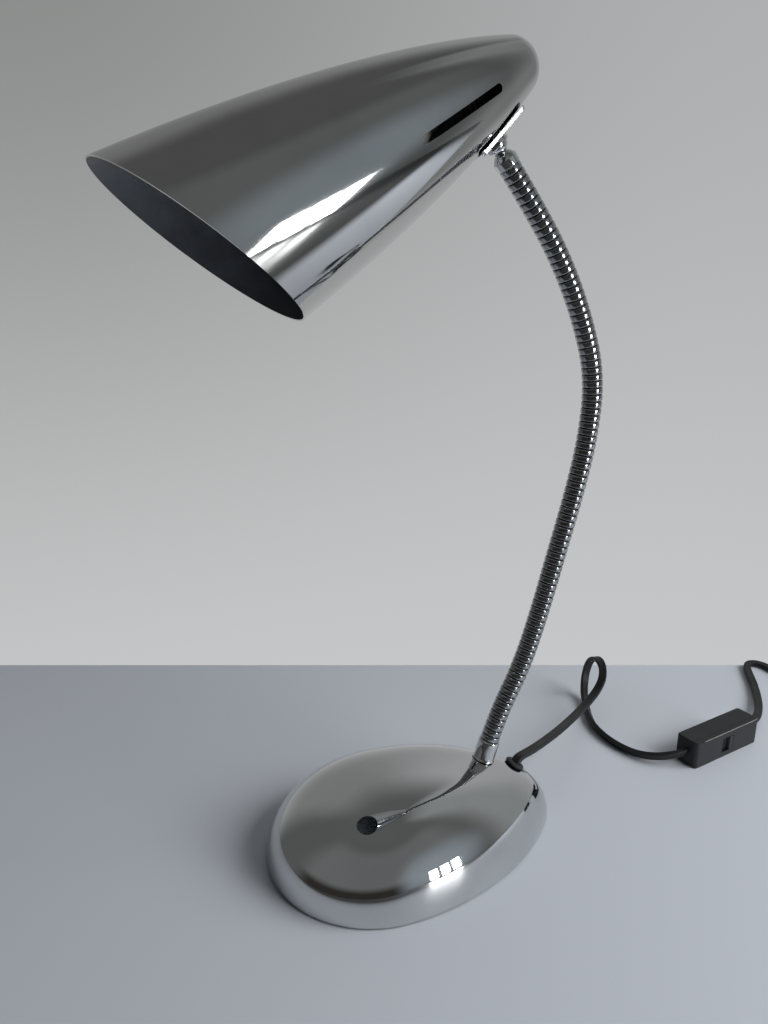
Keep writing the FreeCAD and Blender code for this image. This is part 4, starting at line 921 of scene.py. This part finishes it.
def makeBoot():
    hole, end, radius = plug["bootHole"], plug["boot"], plug["bootRadius"]
    outline = [(hole, 0.05)]
    for ridge in range(plug["ridges"]):
        at = 0.05 + ridge * 2.8
        outline += [(radius, at), (radius - 0.1, at + 1.5), (radius - 0.9, at + 1.8),
                    (radius - 1.0, at + 2.6)]
        radius -= 0.32
    outline += [(3.4, end), (hole, end), (hole, 0.05)]
    place = plugFrame @ shift(-plug["length"], 0, plug["height"] / 2) @ turnAbout("Y", -90)
    setDown(soften(spinOutline(outline, 40), 0.12), "plugBoot", place, "stand", ["rubber"],
            ["plug_boot"])


makePlug()
makeBoot()
print("plug made")

# table and light: plain surfaces and soft light, bright in front and on the right, dark behind

room = {
    "table": (0.44, 0.47, 0.52), "gloss": 0.38, "tableDark": (0.05, 0.05, 0.05), "reach": (0.1, 0.24),
    "near": -2.2, "far": 0.625, "half": 2.5,
    "wallLow": (0.57, 0.575, 0.58), "wallLeft": (0.25, 0.255, 0.25), "wallRight": (0.42, 0.425, 0.43),
    "ceiling": (0.12, 0.123, 0.12), "back": (0.17, 0.175, 0.175), "side": (0.3, 0.31, 0.31),
    "behind": (0.035, 0.031, 0.028), "glow": (0.3, 0.34, 0.37), "glowWay": (0.5, -0.82, 0.22),
    "softShare": 0.55, "windows": (122, 128, 134), "windowReach": 1.5, "windowHeight": 0.2,
    "windowSize": (0.11, 0.3), "windowPower": 2.3}
softLights = [("softSide", (1.05, -0.75, 0.95), (0.0, 0.0, 0.1), (1.3, 0.9), 30.0, False),
              ("softTop", (0.2, 0.1, 1.7), (0.05, 0.0, 0.0), (1.2, 1.2), 3.5, False)]


def makeTable():
    # square to the view, from behind the camera to the table's far edge
    bm = bmesh.new()
    heading = math.radians(view["heading"])
    ahead = Vector((math.sin(heading), math.cos(heading), 0))
    across = Vector((ahead.y, -ahead.x, 0))
    place = Vector((view["place"][0], view["place"][1], 0))
    near, far, half = room["near"], room["far"], room["half"]
    for depth, side in ((near, -half), (near, half), (far, half), (far, -half)):
        bm.verts.new(place + ahead * depth + across * side)
    bm.faces.new(bm.verts)
    bmesh.ops.recalc_face_normals(bm, faces=bm.faces)
    if bm.faces[:][0].normal.z < 0:
        bmesh.ops.reverse_faces(bm, faces=bm.faces)
    mesh = bpy.data.meshes.new("table")
    bm.to_mesh(mesh)
    bm.free()
    table = bpy.data.objects.new("table", mesh)
    bpy.context.scene.collection.objects.link(table)
    finish, tree, shader = startFinish("tableTop", room["table"], room["gloss"])
    # toward the viewer the table grows dark, but only as the metal mirrors it
    spot = tree.nodes.new("ShaderNodeNewGeometry").outputs["Position"]
    nearer = along(tree, spot, tuple(-ahead))
    ranged = tree.nodes.new("ShaderNodeMapRange")
    ranged.interpolation_type = "SMOOTHSTEP"
    ranged.inputs["From Min"].default_value, ranged.inputs["From Max"].default_value = room["reach"]
    tree.links.new(nearer, ranged.inputs["Value"])
    mirrored = tree.nodes.new("ShaderNodeLightPath").outputs["Is Glossy Ray"]
    share = calculate(tree, "MULTIPLY", mirrored, ranged.outputs["Result"])
    tree.links.new(overlay(tree, share, room["table"], room["tableDark"]), shader.inputs["Base Color"])
    mesh.materials.append(finish)


def calculate(tree, operation, *values):
    node = tree.nodes.new("ShaderNodeMath")
    node.operation = operation
    for socket, value in zip(node.inputs, values):
        if isinstance(value, (int, float)):
            socket.default_value = value
        else:
            tree.links.new(value, socket)
    return node.outputs["Value"]


def along(tree, direction, way):
    part = tree.nodes.new("ShaderNodeVectorMath")
    part.operation = "DOT_PRODUCT"
    part.inputs[1].default_value = way
    tree.links.new(direction, part.inputs[0])
    return part.outputs["Value"]


def rises(tree, value, start, stop):
    # 0 below the start and 1 above the stop, in degrees
    ranged = tree.nodes.new("ShaderNodeMapRange")
    ranged.interpolation_type = "SMOOTHSTEP"
    ranged.inputs["From Min"].default_value = math.radians(start)
    ranged.inputs["From Max"].default_value = math.radians(stop)
    tree.links.new(value, ranged.inputs["Value"])
    return ranged.outputs["Result"]


def falls(tree, value, start, stop):
    return calculate(tree, "SUBTRACT", 1.0, rises(tree, value, start, stop))


def overlay(tree, share, under, over):
    mix = tree.nodes.new("ShaderNodeMix")
    mix.data_type = "RGBA"
    tree.links.new(share, mix.inputs[0])
    for socket, colour in ((mix.inputs[6], under), (mix.inputs[7], over)):
        if isinstance(colour, tuple):
            socket.default_value = (*colour, 1)
        else:
            tree.links.new(colour, socket)
    return mix.outputs[2]


def both(tree, first, second):
    return calculate(tree, "MULTIPLY", first, second)


def makeWalls():
    # the room by direction: azimuth from the view's heading, elevation from the level
    world = bpy.data.worlds.new("room")
    bpy.context.scene.world = world
    world.use_nodes = True
    tree = world.node_tree
    direction = tree.nodes.new("ShaderNodeTexCoord").outputs["Generated"]
    heading = math.radians(view["heading"])
    ahead = along(tree, direction, (math.sin(heading), math.cos(heading), 0))
    sideways = along(tree, direction, (math.cos(heading), -math.sin(heading), 0))
    azimuth = calculate(tree, "ARCTAN2", sideways, ahead)
    turned = calculate(tree, "ABSOLUTE", calculate(tree, "SUBTRACT", azimuth, 0.05))
    elevation = calculate(tree, "ARCSINE", along(tree, direction, (0, 0, 1)))
    wall = overlay(tree, rises(tree, azimuth, -24, 24), room["wallLeft"], room["wallRight"])
    wall = overlay(tree, rises(tree, elevation, -34, 20), room["wallLow"], wall)
    rear = rises(tree, turned, 92, 118)
    colour = overlay(tree, both(tree, rear, falls(tree, elevation, 54, 68)), room["ceiling"], room["back"])
    colour = overlay(tree, both(tree, rear, falls(tree, elevation, 6, 18)), colour, room["behind"])
    right = both(tree, rises(tree, azimuth, 34, 50), falls(tree, azimuth, 82, 105))
    colour = overlay(tree, both(tree, right, falls(tree, elevation, 66, 84)), colour, room["side"])
    front = both(tree, falls(tree, turned, 44, 70), falls(tree, elevation, 44, 72))
    colour = overlay(tree, front, colour, wall)
    glowWay = Vector(room["glowWay"]).normalized()
    apart = calculate(tree, "ARCCOSINE", along(tree, direction, tuple(glowWay)))
    colour = overlay(tree, falls(tree, apart, 9, 34), colour, room["glow"])
    backdrop = tree.nodes["Background"]
    tree.links.new(colour, backdrop.inputs["Color"])
    seen = tree.nodes.new("ShaderNodeLightPath")
    straight = calculate(tree, "MAXIMUM", seen.outputs["Is Camera Ray"], seen.outputs["Is Glossy Ray"])
    tree.links.new(calculate(tree, "MAXIMUM", straight, room["softShare"]), backdrop.inputs["Strength"])


def hangLights():
    # three narrow window panes that the metal mirrors, and two wide soft lights that it doesn't
    panes = []
    for number, degrees in enumerate(room["windows"]):
        angle = math.radians(view["heading"]) + math.radians(degrees)
        place = (room["windowReach"] * math.sin(angle), room["windowReach"] * math.cos(angle),
                 room["windowHeight"])
        panes.append((f"window{number}", place, (0, 0, 0.12), room["windowSize"], room["windowPower"], True))
    for name, place, aim, size, power, mirrored in panes + softLights:
        light = bpy.data.objects.new(name, bpy.data.lights.new(name, "AREA"))
        light.data.shape = "RECTANGLE"
        light.data.size, light.data.size_y = size
        light.data.energy = power
        light.visible_glossy = mirrored
        light.location = place
        light.rotation_euler = (Vector(aim) - Vector(place)).to_track_quat("-Z", "Y").to_euler()
        bpy.context.scene.collection.objects.link(light)


makeTable()
makeWalls()
hangLights()
bpy.context.scene.view_settings.view_transform = "Standard"
print("table and light made")
